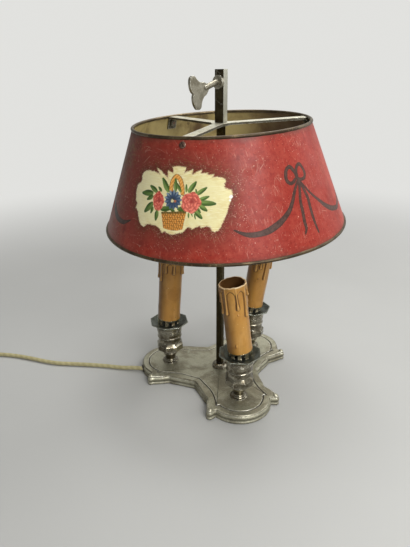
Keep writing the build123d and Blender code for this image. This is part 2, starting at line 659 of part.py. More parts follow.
def make_shade():
    outer = frustum(0)
    inside = frustum(SHADE_SHEET)
    shell = outer - inside
    top = rim(SHADE_TOP_RADIUS, 0, -1)
    bottom = rim(SHADE_BOTTOM_RADIUS, -SHADE_HEIGHT, 1)
    frame = spider(inside) - top
    slider_hole = Box(SLIDER_OUTER[0], SLIDER_OUTER[1], 4 * HUB_RADIUS)
    nut_seat = SHADE_SHEET + ARM_THICKNESS + SEAT_GAP
    shank = nut_seat + SHADE_NUT_HEIGHT + SHADE_SCREW_END
    screws = []
    nuts = []
    for arm in range(LOBES):
        seat = wall_frame(SHADE_SCREW_DROP, ARM_AZIMUTH + STEP * arm)
        clear = seat * Cylinder(SCREW_RADIUS + SEAT_GAP, 4 * ARM_THICKNESS)
        shell -= clear
        frame -= clear
        screw = slotted_screw(SCREW_HEAD_RADIUS, SHADE_SCREW_HEAD, SCREW_RADIUS, shank)
        screws.append(seat * screw - outer + seat * Cylinder(SCREW_RADIUS, shank, align=UP))
        nut = Box(SHADE_NUT_FLATS, SHADE_NUT_FLATS, SHADE_NUT_HEIGHT, align=UP)
        nut -= Cylinder(SCREW_RADIUS, SHADE_NUT_HEIGHT, align=UP)
        nuts.append(seat * Pos(0, 0, nut_seat) * nut)
    home = shade_frame()
    parts["shade_shell"] = home * shell
    parts["top_rim"] = home * top
    parts["bottom_rim"] = home * bottom
    parts["shade_spider"] = home * frame - Pos(0, 0, HUB_HEIGHT) * slider_hole
    parts["shade_screws"] = Compound([home * screw for screw in screws])
    parts["shade_nuts"] = Compound([home * nut for nut in nuts])


# ---------------------------------------------------------------- slider and key
def key_outline():
    """Half of the butterfly plate, from its neck to the dip between the wings."""
    half = [
        Line((KEY_NECK[0], 0), KEY_NECK),
        Line(KEY_NECK, KEY_SHOULDER[0]),
        Line(*KEY_SHOULDER),
        ThreePointArc(KEY_SHOULDER[1], *KEY_WING[:2]),
        ThreePointArc(*KEY_WING[1:4]),
        ThreePointArc(*KEY_WING[3:]),
        Line(KEY_WING[-1], (KEY_DIP, 0)),
    ]
    return Face(Wire(half + [edge.mirror(Plane.XZ) for edge in half]))


def thumb_key():
    """Threaded tip in the boss, then a stem bent down and a flat butterfly plate."""
    tip = ROD_THICKNESS / 2 + KEY_TIP_GAP
    bend = SLIDER_OUTER[1] / 2 + BOSS_THICKNESS + KEY_BEND_OUT
    # local +X of the wings points along -Y and down, and their plane stands upright
    wings = Pos(0, -bend, 0) * Rot(KEY_DROOP, 0, 0) * Rot(0, 0, -90) * Rot(90, 0, 0)
    end = (wings * Pos(KEY_STEM_LENGTH + KEY_STEM_LAP, 0, 0)).position
    stem = round_bar(FilletPolyline((0, -tip, 0), (0, -bend, 0), end, radius=KEY_BEND_RADIUS),
                     KEY_STEM_RADIUS)
    return stem + wings * extrude(key_outline(), KEY_PLATE / 2, both=True)


def make_slider():
    bottom = HUB_HEIGHT - ARM_THICKNESS - SLIDER_BELOW_HUB
    length = SLIDER_TOP - bottom
    slider = Box(SLIDER_OUTER[0], SLIDER_OUTER[1], length, align=UP)
    slider -= Box(SLIDER_INNER[0], SLIDER_INNER[1], length, align=UP)
    slider = Pos(0, 0, bottom) * slider
    face = Location((0, -SLIDER_OUTER[1] / 2, KEY_HEIGHT), (90, 0, 0))
    hole = face * Cylinder(KEY_STEM_RADIUS + KEY_FIT, 4 * SLIDER_WALL)
    parts["slider_tube"] = slider - hole
    boss = tube(BOSS_RADIUS, KEY_STEM_RADIUS + KEY_FIT, BOSS_THICKNESS)
    parts["key_boss"] = face * boss
    parts["thumb_key"] = Pos(0, 0, KEY_HEIGHT) * thumb_key()


# ---------------------------------------------------------------- mains cord
def on_exit_line(distance):
    """A point on the cord's straight way out through the bush."""
    return tuple((cord_frame() * Pos(distance, 0, 0)).position)


# The cord's route over the table, chosen by hand after its straight way through the bush: from
# there to the switch, from the switch to the coil, and from the coil's top turn to the plug.
ROUTE_LAMP = [
    on_exit_line(CORD_START), on_exit_line(CORD_START + CORD_FIRST_RUN),
    (-90.5, -72.6, 2.4), (-112.0, -84.8, 2.4), (-141.5, -106.2, 2.4), (-161.0, -121.5, 2.4),
    (-199.0, -137.0, 2.4), (-222.0, -149.5, 2.4), (-245.5, -167.4, 2.4), (-265.4, -180.6, 4.8),
]
ROUTE_MIDDLE = [
    (-305.6, -206.7, 4.8), (-323.2, -218.3, 2.4), (-335.5, -233.5, 2.4), (-336.0, -254.0, 2.4),
    (-324.0, -272.5, 2.4), (-305.0, -285.5, 2.4), (-283.5, -293.0, 2.4), (-261.6, -298.9, 2.4),
]
ROUTE_PLUG = [
    (-241.3, -297.5, 6.6), (-217.9, -291.4, 6.0), (-196.0, -282.4, 2.9), (-176.0, -270.2, 6.7),
    (-153.1, -254.1, 6.7),
]
SWITCH_HEADING = 213.0
PLUG_HEADING = 35.0
COIL_CENTRE = (-249.7, -266.2)
COIL_INNER = 18.0
COIL_LOWER_TURNS = 4
COIL_LAYERS = 2
COIL_NESTING = 0.87      # how far a nested layer rises, in cord diameters


def bend_radii(points):
    """The largest arc at each corner that leaves a straight piece between two arcs."""
    corners = [Vector(*point) for point in points]
    radii = []
    for before, here, after in zip(corners, corners[1:], corners[2:]):
        into = here - before
        out = after - here
        half_turn = radians(into.get_angle(out) / 2)
        radii.append(0.45 * min(into.length, out.length) / tan(half_turn))
    return radii


def laid_cord(name, points):
    radii = bend_radii(points)
    path = FilletPolyline(*points, radius=radii)
    cord = round_bar(path, CORD_RADIUS)
    section = Circle(CORD_RADIUS).area
    print(name, "radii", [round(radius) for radius in radii], "length", round(path.length, 1),
          "volume over section", round(cord.volume / section, 1))
    return cord


def cord_coil():
    """The outer shape of a neat coil: a wide layer of turns with a nested layer on it."""
    outer = COIL_INNER + COIL_LOWER_TURNS * CORD_DIAMETER
    height = CORD_DIAMETER * (1 + COIL_NESTING * (COIL_LAYERS - 1))
    step = CORD_DIAMETER / 2
    ring = turned([
        (COIL_INNER, 0), (outer, 0), (outer, CORD_DIAMETER), (outer - step, height),
        (COIL_INNER + step, height), (COIL_INNER, CORD_DIAMETER),
    ])
    return Pos(*COIL_CENTRE, 0) * ring


def cord_bush(outline, hollow):
    """A flanged bush let through the edge of the base."""
    bore = along_cord(CORD_RADIUS, SOCKET_CIRCLE, SOCKET_CIRCLE + 2 * LOBE_RADIUS)
    reach = extrude(inset(outline, -BUSH_LIP), PLATE_HEIGHT) - hollow
    barrel = along_cord(CORD_RADIUS + BUSH_WALL, SOCKET_CIRCLE, SOCKET_CIRCLE + 2 * LOBE_RADIUS)
    flange = along_cord(CORD_RADIUS + 2 * BUSH_WALL, SOCKET_CIRCLE, SOCKET_CIRCLE + 2 * LOBE_RADIUS)
    lip = (flange & reach) - extrude(outline, PLATE_HEIGHT)
    return (barrel & reach) + lip - bore


def make_wiring(outline, hollow):
    parts["cord_bush"] = cord_bush(outline, hollow)
    block = Box(*SPLICE, align=(Align.CENTER, Align.CENTER, Align.MAX))
    parts["lead_splice"] = Pos(0, SPLICE_Y, HOLLOW_TOP) * block
    start = Vector(*ROUTE_LAMP[0])
    side = Vector(-SPLICE[0] / 2, SPLICE_Y - SPLICE[1] / 6, CORD_EXIT_HEIGHT)
    run = side - start
    ahead = run.normalized() * CORD_DIAMETER
    length = run.length + 2 * CORD_DIAMETER
    sheath = Plane(origin=start - ahead, z_dir=run) * Cylinder(SHEATH_RADIUS, length, align=UP)
    beyond = Box(LOBE_RADIUS, LOBE_RADIUS, LOBE_RADIUS, align=OUTWARDS)
    sheath -= cord_frame() * Pos(CORD_START, 0, 0) * beyond
    parts["mains_sheath"] = sheath - parts["lead_splice"]
    leads = parts["inner_leads"].solids()
    parts["inner_leads"] = Compound([lead - parts["lead_splice"] for lead in leads])
    parts["cord_lamp"] = laid_cord("cord_lamp", ROUTE_LAMP)
    parts["cord_middle"] = laid_cord("cord_middle", ROUTE_MIDDLE)
    parts["cord_plug"] = laid_cord("cord_plug", ROUTE_PLUG)
    parts["cord_coil"] = cord_coil()


# ---------------------------------------------------------------- switch on the cord
def switch_frame():
    """On the table at the switch's middle, with local +X along the cord."""
    heading = radians(SWITCH_HEADING)
    reach = SWITCH_LENGTH / 2 - CORD_GRIP
    x = ROUTE_LAMP[-1][0] + cos(heading) * reach
    y = ROUTE_LAMP[-1][1] + sin(heading) * reach
    return Location((x, y, 0), (0, 0, SWITCH_HEADING))


def rounded_block(length, width, height, corner, edge):
    """A block whose upright edges and upper edges are rounded."""
    block = extrude(RectangleRounded(length, width, corner), height)
    return fillet(block.faces().sort_by(Axis.Z)[-1].edges(), edge)


def make_switch():
    outer = rounded_block(SWITCH_LENGTH, SWITCH_WIDTH, SWITCH_HEIGHT, SWITCH_CORNER, SWITCH_EDGE)
    both_walls = 2 * SWITCH_WALL
    room = RectangleRounded(
        SWITCH_LENGTH - both_walls, SWITCH_WIDTH - both_walls, SWITCH_CORNER - SWITCH_WALL
    )
    shell = outer - Pos(0, 0, SWITCH_WALL) * extrude(room, SWITCH_HEIGHT - both_walls)
    below = Box(2 * SWITCH_LENGTH, 2 * SWITCH_WIDTH, SWITCH_HEIGHT / 2, align=UP)
    ceiling = SWITCH_HEIGHT - SWITCH_WALL
    pin_height = ceiling - ROCKER_PIN_DROP
    window = (ROCKER_LENGTH + 2 * ROCKER_SWING_GAP, ROCKER_WIDTH + 2 * RUNNING)
    across = window[1] + 2 * LUG_THICKNESS
    cover = shell - below
    for side in (-1, 1):
        lug = Box(LUG_LENGTH, LUG_THICKNESS, ROCKER_PIN_DROP + LUG_BELOW_PIN, align=DOWN)
        cover += Pos(0, side * (window[1] + LUG_THICKNESS) / 2, ceiling) * lug
    cover -= Pos(0, 0, SWITCH_HEIGHT) * Box(window[0], window[1], 3 * SWITCH_WALL)
    cover -= Pos(0, 0, pin_height) * Rot(90, 0, 0) * Cylinder(ROCKER_PIN_RADIUS + KEY_FIT, across)
    half = ROCKER_LENGTH / 2
    profile = make_face(Polyline(
        (-half, 0, ROCKER_ENDS), (0, 0, ROCKER_MIDDLE), (half, 0, ROCKER_ENDS),
        (half - ROCKER_UNDERCUT, 0, -ROCKER_ENDS), (ROCKER_UNDERCUT - half, 0, -ROCKER_ENDS),
        close=True,
    ))
    rocker = extrude(profile, ROCKER_WIDTH / 2, both=True)
    rocker += Rot(90, 0, 0) * Cylinder(ROCKER_PIN_RADIUS, across - SEAT_GAP)
    home = switch_frame()
    parts["switch_base"] = home * (shell & below) - parts["cord_lamp"] - parts["cord_middle"]
    parts["switch_cover"] = home * cover
    parts["switch_rocker"] = home * Pos(0, 0, pin_height) * Rot(0, ROCKER_TILT, 0) * rocker
    parts["switch_terminals"] = Compound([
        home * Pos(0, side * TERMINAL_OFFSET, SWITCH_WALL) * Box(*TERMINAL, align=UP)
        for side in (-1, 1)
    ])


# ---------------------------------------------------------------- plug
def make_plug():
    x, y, z = ROUTE_PLUG[-1]
    home = Location((x, y, z - PLUG_HEIGHT / 2), (0, 0, PLUG_HEADING)) * Pos(-CORD_GRIP, 0, 0)
    outline = make_face(Polyline(
        (0, -PLUG_NECK / 2), (PLUG_SHOULDER, -PLUG_WIDTH / 2), (PLUG_LENGTH, -PLUG_WIDTH / 2),
        (PLUG_LENGTH, PLUG_WIDTH / 2), (PLUG_SHOULDER, PLUG_WIDTH / 2), (0, PLUG_NECK / 2),
        close=True,
    ))
    body = extrude(outline, PLUG_HEIGHT)
    wide_edges = body.edges().filter_by(Axis.Z).sort_by(Axis.X)[2:]
    parts["plug_body"] = home * fillet(wide_edges, PLUG_CORNER) - parts["cord_plug"]
    relief = Cone(RELIEF_RADIUS, RELIEF_END_RADIUS, RELIEF_LENGTH, align=UP)
    back = home * Location((0, 0, PLUG_HEIGHT / 2), (0, -90, 0))
    parts["plug_relief"] = back * relief - parts["cord_plug"]
    face = home * Location((PLUG_LENGTH, 0, PLUG_HEIGHT / 2), (0, 90, 0))
    pins = []
    for side in (-1, 1):
        pin = Cylinder(PIN_RADIUS, PIN_LENGTH, align=UP)
        pin = fillet(pin.edges().sort_by(Axis.Z)[-1], PIN_END_RADIUS)
        pins.append(face * Pos(0, side * PIN_SPACING / 2, 0) * pin)
    parts["plug_pins"] = Compound(pins)


# ---------------------------------------------------------------- build
base_outline, base_hollow = make_base()
make_rod()
make_candles()
make_shade()
make_slider()
make_wiring(base_outline, base_hollow)
make_switch()
make_plug()

os.makedirs("parts", exist_ok=True)
for node, shape in parts.items():
    export_step(shape, "parts/" + node + ".step")
    print(node, len(shape.solids()), round(shape.volume, 1), shape.is_valid)
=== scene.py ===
"""Visual model of a bouillotte lamp: three candle lights under a painted, sliding shade."""
from __future__ import annotations

import cmath
import json
import logging
import math
from dataclasses import dataclass, field
from enum import Enum
from functools import cache
from typing import Callable

import bmesh
import bpy
import numpy as np
from mathutils import Matrix, Vector

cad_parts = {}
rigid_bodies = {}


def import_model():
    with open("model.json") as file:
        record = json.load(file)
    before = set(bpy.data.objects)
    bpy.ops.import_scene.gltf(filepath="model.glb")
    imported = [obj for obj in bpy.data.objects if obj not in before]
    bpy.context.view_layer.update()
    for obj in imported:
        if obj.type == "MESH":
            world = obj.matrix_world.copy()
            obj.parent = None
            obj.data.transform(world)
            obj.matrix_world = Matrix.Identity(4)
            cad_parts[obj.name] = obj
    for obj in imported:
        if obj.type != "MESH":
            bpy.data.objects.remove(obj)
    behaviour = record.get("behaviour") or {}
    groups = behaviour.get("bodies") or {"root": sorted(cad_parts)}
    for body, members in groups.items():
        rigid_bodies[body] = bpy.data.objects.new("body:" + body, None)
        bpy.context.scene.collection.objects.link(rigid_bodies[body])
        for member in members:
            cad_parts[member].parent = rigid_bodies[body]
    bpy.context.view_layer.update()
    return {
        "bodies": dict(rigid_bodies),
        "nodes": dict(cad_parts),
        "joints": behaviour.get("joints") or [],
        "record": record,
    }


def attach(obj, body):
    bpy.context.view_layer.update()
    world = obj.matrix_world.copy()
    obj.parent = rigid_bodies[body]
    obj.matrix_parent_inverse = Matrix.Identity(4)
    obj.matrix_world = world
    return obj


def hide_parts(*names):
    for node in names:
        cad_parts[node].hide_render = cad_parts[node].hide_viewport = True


log = logging.getLogger("bouillotte_lamp")

Point = tuple[float, float]
Triple = tuple[float, float, float]
Mesh = tuple[np.ndarray, list[tuple[int, ...]]]

MM = 0.001
CANDLE_AZIMUTHS = {"right": 60.0, "left": -60.0, "rear": 180.0}
# how far each candle leans, and towards which azimuth
LEANS = {"right": (7.0, -34.0), "left": (4.4, 130.0), "rear": (8.3, 130.0)}
SOCKET_CIRCLE = 59.6
PLATE_HEIGHT = 9.85
SOCKET_TOP = PLATE_HEIGHT + 50.2
PAN_SHEET = 1.25
PIVOT_HEIGHT = SOCKET_TOP + PAN_SHEET + 5.8
SEAT_DISC = 1.2


class Body(Enum):
    """The rigid bodies that pieces ride on."""

    BASE = "base"
    SHADE = "shade_carriage"


# ---------------------------------------------------------------- geometry helpers
def turned(degrees: float, axis: str) -> Matrix:
    """A turn about one axis."""
    return Matrix.Rotation(math.radians(degrees), 4, axis)


def raised(height: float) -> Matrix:
    """A shift along Z, in millimetres."""
    return Matrix.Translation((0, 0, height))


def on_socket_circle(name: str, height: float) -> Matrix:
    """A shift to where one light stands."""
    turn = math.radians(CANDLE_AZIMUTHS[name])
    return Matrix.Translation((SOCKET_CIRCLE * math.sin(turn), -SOCKET_CIRCLE * math.cos(turn), height))


def socket_frame(name: str, height: float) -> Matrix:
    """The frame of one socket at a height, with local +X pointing away from the rod."""
    return on_socket_circle(name, height) @ turned(CANDLE_AZIMUTHS[name] - 90, "Z")


def leaning_frame(name: str) -> Matrix:
    """The frame of one leaning candle, from its pivot, with local +Z up the candle."""
    angle, towards = LEANS[name]
    turn = turned(towards - 90, "Z")
    return on_socket_circle(name, PIVOT_HEIGHT) @ turn @ turned(angle, "Y") @ turn.inverted()


def ring_faces(rings: int, columns: int, closed: bool = True) -> list[tuple[int, ...]]:
    """The quads of a grid of rings, the last ring joined to the first where closed."""
    index = np.arange(rings * columns).reshape(rings, columns)
    after = np.roll(index, -1, axis=1)
    faces = np.stack([index, after, np.roll(after, -1, axis=0), np.roll(index, -1, axis=0)], axis=-1)
    return [tuple(face) for face in (faces if closed else faces[:-1]).reshape(-1, 4).tolist()]


def fan(start: int, count: int, pole: int) -> list[tuple[int, ...]]:
    """The triangles from a ring to its pole."""
    return [(start + i, start + (i + 1) % count, pole) for i in range(count)]


def prism_faces(count: int) -> list[tuple[int, ...]]:
    """The faces between two equal outlines."""
    sides = [(i, (i + 1) % count, count + (i + 1) % count, count + i) for i in range(count)]
    return [tuple(range(count)), tuple(range(2 * count - 1, count - 1, -1)), *sides]


def lathe(profile: tuple[Triple, ...], segments: int, closed: bool) -> Mesh:
    """Turns a profile about Z, with any ring pressed towards an octagon.

    Args:
        profile: (radius or half-flats, height, share of octagon) of each ring.
        segments: points in a ring.
        closed: True joins the last ring to the first, False caps both ends.

    Returns:
        The vertices and the faces.
    """
    angles = 2 * np.pi * np.arange(segments) / segments
    octagon = 1 / np.cos(np.radians(np.degrees(angles) % 45.0 - 22.5))
    radii, heights, shares = np.array(profile, float).T[:, :, None]
    reach = radii * (1 + shares * (octagon - 1))
    rows = np.stack([reach * np.cos(angles), reach * np.sin(angles), heights + 0 * reach], axis=-1)
    rows = rows.reshape(-1, 3)
    faces = ring_faces(len(profile), segments, closed)
    if not closed:
        rim = len(rows)
        rows = np.concatenate([rows, [(0.0, 0.0, heights[0, 0]), (0.0, 0.0, heights[-1, 0])]])
        faces += fan(0, segments, rim) + fan(rim - segments, segments, rim + 1)
    return rows, faces


def placed(vertices: np.ndarray, frame: Matrix) -> np.ndarray:
    """Carries vertices from a local frame into the lamp's frame."""
    return vertices @ np.array(frame.to_3x3()).T + np.array(frame.translation)


def arc_points(start: Point, middle: Point, end: Point, steps: int) -> list[Point]:
    """Points along the circle through three points, without the last one.

    Args:
        start: where the arc begins.
        middle: any point of it.
        end: where it ends.
        steps: how many points.

    Returns:
        The points.
    """
    a, b, c = (complex(*point) for point in (start, middle, end))
    skew = (c - a) / (b - a)
    centre = a + (b - a) * (skew - abs(skew) ** 2) / (skew - skew.conjugate())
    first, mid, last = (cmath.phase(point - centre) for point in (a, b, c))
    sweep = (last - first) % math.tau
    if (mid - first) % math.tau > sweep:
        sweep -= math.tau
    points = centre + abs(a - centre) * np.exp(1j * (first + sweep * np.arange(steps) / steps))
    return list(zip(points.real.tolist(), points.imag.tolist()))


def straight(start: Point, end: Point, steps: int) -> list[Point]:
    """Points along a straight run, without the last one."""
    return [tuple(point) for point in np.linspace(start, end, steps, endpoint=False).tolist()]


def half_dome(levels: tuple[Point, ...], gap: float, side: int) -> Mesh:
    """Half of a slotted screw's head.

    Args:
        levels: radius and height of each ring, upwards.
        gap: half of the slot's width.
        side: 1 or -1, the side of the slot.

    Returns:
        The vertices and the faces.
    """
    turn = np.linspace(0, np.pi, 21)
    count = len(turn)
    rows = np.concatenate([
        np.column_stack([radius * np.cos(turn), side * np.maximum(radius * np.sin(turn), gap),
                         np.full(count, height)]) for radius, height in levels])
    ends = [tuple(range(count)), tuple(range(len(rows) - count, len(rows)))]
    return rows, ring_faces(len(levels), count, closed=False) + ends


def join_parts(*parts: Mesh) -> Mesh:
    """Puts several vertex and face sets into one.

    Args:
        *parts: the sets.

    Returns:
        The one set.
    """
    faces, start = [], 0
    for rows, polygons in parts:
        faces += [tuple(corner + start for corner in polygon) for polygon in polygons]
        start += len(rows)
    return np.concatenate([rows for rows, _ in parts]), faces


def linked(name: str, data: bpy.types.ID) -> bpy.types.Object:
    """A new object in the scene."""
    thing = bpy.data.objects.new(name, data)
    bpy.context.scene.collection.objects.link(thing)
    return thing


def smooth(mesh: bpy.types.Mesh, crease: float) -> None:
    """Turns a mesh's faces outwards and smooths them, but for edges over crease degrees.

    Args:
        mesh: the mesh.
        crease: edges sharper than this stay sharp.
    """
    work = bmesh.new()
    work.from_mesh(mesh)
    bmesh.ops.recalc_face_normals(work, faces=work.faces)
    work.to_mesh(mesh)
    work.free()
    mesh.shade_smooth()
    mesh.set_sharp_from_angle(angle=math.radians(crease))


def carry(mesh: bpy.types.Mesh, label: str, values: np.ndarray) -> None:
    """Gives each vertex of a mesh a value."""
    layer = mesh.attributes.new(label, "FLOAT", "POINT")
    layer.data.foreach_set("value", np.asarray(values, np.float32).ravel())


def make_piece(name: str, shape: Mesh, finishes: tuple[str, ...],
               crease: float) -> bpy.types.Object:
    """Makes a closed piece, in metres.

    Args:
        name: the piece's name.
        shape: its vertices, in millimetres, and its faces.
        finishes: what it is finished with, the main one first.
        crease: edges sharper than this many degrees stay sharp.

    Returns:
        The new object, its place in its mesh.
    """
    mesh = bpy.data.meshes.new(name)
    mesh.from_pydata((shape[0] * MM).tolist(), [], shape[1])
    smooth(mesh, crease)
    for finish in finishes:
        mesh.materials.append(material(finish))
    return linked(name, mesh)


def settle(piece: bpy.types.Object, body: str, *nodes: str, slot: str | None = None) -> None:
    """Rides a piece on a body, in place of the CAD nodes that it stands for.

    Args:
        piece: the piece.
        body: the body it rides on.
        *nodes: the CAD nodes, if any.
        slot: not used.
    """
    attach(piece, body)
    if nodes:
        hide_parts(*nodes)
    log.info("%s rides on %s", piece.name, body)


# ---------------------------------------------------------------- shader helpers
class Wire:
    """A node's output, for sums that are written as sums."""

    def __init__(self, nodes: Nodes, socket: bpy.types.NodeSocket) -> None:
        """Keeps the output and the tree that it is in."""
        self.nodes = nodes
        self.socket = socket

    def __add__(self, other: Wire | float) -> Wire:
        """The sum."""
        return self.nodes.math("ADD", self, other)

    def __sub__(self, other: Wire | float) -> Wire:
        """The difference."""
        return self.nodes.math("SUBTRACT", self, other)

    def __rsub__(self, other: float) -> Wire:
        """What is left of a number."""
        return self.nodes.math("SUBTRACT", other, self)

    def __mul__(self, other: Wire | float) -> Wire:
        """The product."""
        return self.nodes.math("MULTIPLY", self, other)

    def __or__(self, other: Wire | float) -> Wire:
        """The greater of the two."""
        return self.nodes.math("MAXIMUM", self, other)


class Nodes:
    """A short way to write a node tree."""

    def __init__(self, tree: bpy.types.NodeTree) -> None:
        """Wraps an empty tree."""
        self.tree = tree

    def feed(self, socket: bpy.types.NodeSocket, value: object) -> None:
        """Links an input to an output, or sets its value.

        Args:
            socket: the input.
            value: a wire, a value or a colour.
        """
        if isinstance(value, Wire):
            self.tree.links.new(value.socket, socket)
        elif socket.type == "RGBA":
            socket.default_value = (*value, 1.0)
        else:
            socket.default_value = value

    def node(self, kind: str, *values: object, settings: dict | None = None,
             **inputs: object) -> bpy.types.Node:
        """Adds a node.

        Args:
            kind: the node's type, without its prefix where that is ShaderNode.
            *values: values or wires for the first inputs.
            settings: attributes of the node.
            **inputs: values or wires by input name, with spaces as underscores.

        Returns:
            The new node.
        """
        plain = kind.startswith(("Geometry", "Function", "NodeGroup"))
        node = self.tree.nodes.new(kind if plain else "ShaderNode" + kind)
        for key, value in (settings or {}).items():
            setattr(node, key, value)
        for socket, value in zip(node.inputs, values):
            self.feed(socket, value)
        for key, value in inputs.items():
            self.feed(node.inputs[key.replace("_", " ")], value)
        return node

    def add(self, kind: str, *values: object, out: int | str = 0, settings: dict | None = None,
            **inputs: object) -> Wire:
        """Adds a node as node() does, and gives one of its outputs."""
        return Wire(self, self.node(kind, *values, settings=settings, **inputs).outputs[out])

    def math(self, operation: str, first: object, second: object = 0.0, clamp: bool = False) -> Wire:
        """A math node's output."""
        return self.add("Math", first, second, settings={"operation": operation, "use_clamp": clamp})

    def ramp(self, value: object, low: object, high: object, start: float = 0.0,
             end: float = 1.0) -> Wire:
        """A smooth step of a value between low and high."""
        settings = {"interpolation_type": "SMOOTHSTEP"}
        return self.add("MapRange", value, low, high, start, end, settings=settings)

    def mix(self, factor: object, first: object, second: object, mode: str = "MIX") -> Wire:
        """A mix of two colours."""
        node = self.node("Mix", factor, settings={"data_type": "RGBA", "blend_type": mode})
        self.feed(node.inputs[6], first)
        self.feed(node.inputs[7], second)
        return Wire(self, node.outputs[2])

    def blend(self, factor: object, first: object, second: object) -> Wire:
        """A mix of two values."""
        node = self.node("Mix", factor)
        self.feed(node.inputs[2], first)
        self.feed(node.inputs[3], second)
        return Wire(self, node.outputs[0])

    def coats(self, colour: object, *coats: tuple[object, object]) -> object:
        """Colours laid one over another, each by its own mask."""
        for mask, over in coats:
            colour = self.mix(mask, colour, over)
        return colour

    def coordinates(self) -> Wire:
        """The object's own coordinates, in metres."""
        return self.add("TexCoord", out="Object")

    def stretched(self, scale: Triple, turn: Triple = (0, 0, 0), vector: object = None) -> Wire:
        """The object's own coordinates, or others, scaled and turned."""
        return self.add("Mapping", Vector=vector or self.coordinates(), Rotation=turn, Scale=scale)

    def noise(self, scale: object, detail: float = 3.0, roughness: float = 0.5,
              distortion: float = 0.0, vector: object = None) -> Wire:
        """A noise value over the object's own coordinates, or over others."""
        return self.add("TexNoise", out="Fac", Scale=scale, Detail=detail, Roughness=roughness,
                        Distortion=distortion, Vector=vector or self.coordinates())

    def attribute(self, name: str, out: str = "Fac") -> Wire:
        """A value or colour that the mesh carries."""
        return self.add("Attribute", out=out, settings={"attribute_name": name})

    def dot(self, first: object, second: object) -> Wire:
        """The dot product of two vectors."""
        return self.add("VectorMath", first, second, out="Value", settings={"operation": "DOT_PRODUCT"})

    def facing(self, direction: Triple, low: float, high: float, top: float) -> Wire:
        """How much a face looks one way, from 0 up to top."""
        return self.ramp(self.dot(self.add("TexCoord", out="Normal"), direction), low, high, 0.0, top)

    def effect(self, tree: Callable, out: str = "Mask", **inputs: object) -> Wire:
        """One output of a shared group."""
        return self.add("Group", out=out, settings={"node_tree": tree()}, **inputs)

    def patches(self, **inputs: object) -> tuple[Wire, Wire]:
        """The shared group of cloudy patches and fine grain."""
        node = self.node("Group", settings={"node_tree": patches()}, **inputs)
        return Wire(self, node.outputs["Patch"]), Wire(self, node.outputs["Grain"])


class Surface(Nodes):
    """A material's tree, with a Principled BSDF on its output."""

    def __init__(self, name: str) -> None:
        """Starts the material."""
        self.material = bpy.data.materials.new(name)
        self.material.use_nodes = True
        self.material.node_tree.nodes.clear()
        super().__init__(self.material.node_tree)
        self.shader = self.node("BsdfPrincipled")
        self.output = self.node("OutputMaterial", Wire(self, self.shader.outputs[0]))

    def end(self, height: object, strength: float, depth: float, soften: float = 0.0,
            **inputs: object) -> bpy.types.Material:
        """Feeds the shader.

        Args:
            height: the relief.
            strength: how strongly the relief shows.
            depth: how deep it is, in metres.
            soften: how far edges are rounded, in metres, or 0.
            **inputs: the shader's inputs, spaces as underscores.

        Returns:
            The material.
        """
        bump = self.node("Bump", Strength=strength, Distance=depth, Height=height)
        if soften:
            self.feed(bump.inputs["Normal"], self.add("Bevel", settings={"samples": 4}, Radius=soften))
        for key, value in {**inputs, "Normal": Wire(self, bump.outputs[0])}.items():
            self.feed(self.shader.inputs[key.replace("_", " ")], value)
        return self.material


def shared(*outputs: str, **inputs: float) -> Callable:
    """Makes a function that fills a tree into one that gives a shared group, built once.

    Args:
        *outputs: the group's outputs.
        **inputs: its inputs and their defaults.

    Returns:
        The wrapper.
    """

    def wrap(fill: Callable) -> Callable:
        """Wraps one such function.

        Args:
            fill: fills a tree and gives what it puts out.

        Returns:
            Gives the group.
        """

        @cache
        def tree() -> bpy.types.NodeTree:
            """The group."""
            group = bpy.data.node_groups.new(fill.__name__, "ShaderNodeTree")
            for label, default in inputs.items():
                socket = group.interface.new_socket(label.replace("_", " "), in_out="INPUT",
                                                    socket_type="NodeSocketFloat")
                socket.default_value = default
            for label in outputs:
                group.interface.new_socket(label, in_out="OUTPUT", socket_type="NodeSocketFloat")
            nodes = Nodes(group)
            given = nodes.node("NodeGroupInput").outputs
            nodes.node("NodeGroupOutput", *fill(nodes, *(Wire(nodes, given[i]) for i in range(len(inputs)))))
            return group

        return tree

    return wrap


@shared("Mask", Width=0.0008, Breakup_Scale=300.0, Amount=1.0)
def edge_wear(nodes: Nodes, width: Wire, scale: Wire, amount: Wire) -> tuple[Wire, ...]:
    """Worn edges: a mask that is 1 along sharp edges, broken up by noise."""
    bevel = nodes.add("Bevel", settings={"samples": 6}, Radius=width)
    flat = nodes.add("NewGeometry", out="Normal")
    edge = nodes.ramp(1.0 - nodes.dot(bevel, flat), 0.01, 0.12)
    return (edge * (nodes.ramp(nodes.noise(scale, 4.0), 0.3, 0.6) * amount),)


@shared("Mask", Reach=0.004, Breakup_Scale=120.0, Amount=1.0)
def corner_grime(nodes: Nodes, reach: Wire, scale: Wire, amount: Wire) -> tuple[Wire, ...]:
    """Dirt that gathers in corners and hollows."""
    open_share = nodes.add("AmbientOcclusion", out="AO", settings={"samples": 6}, Distance=reach)
    hollow = nodes.ramp(1.0 - open_share, 0.12, 0.75)
    breakup = nodes.ramp(nodes.noise(scale, 5.0, 0.6), 0.25, 0.65, 0.35, 1.0)
    return (nodes.math("MULTIPLY", hollow, breakup * amount, clamp=True),)


@shared("Patch", "Grain", Patch_Scale=40.0, Grain_Scale=900.0, Low=0.42, High=0.62)
def patches(nodes: Nodes, scale: Wire, grain: Wire, low: Wire, high: Wire) -> tuple[Wire, ...]:
    """Cloudy patches and fine grain, as two masks."""
    cloud = nodes.noise(scale, 5.0, 0.6, 0.4)
    return nodes.ramp(cloud, low, high), nodes.noise(grain, 3.0, 0.6)


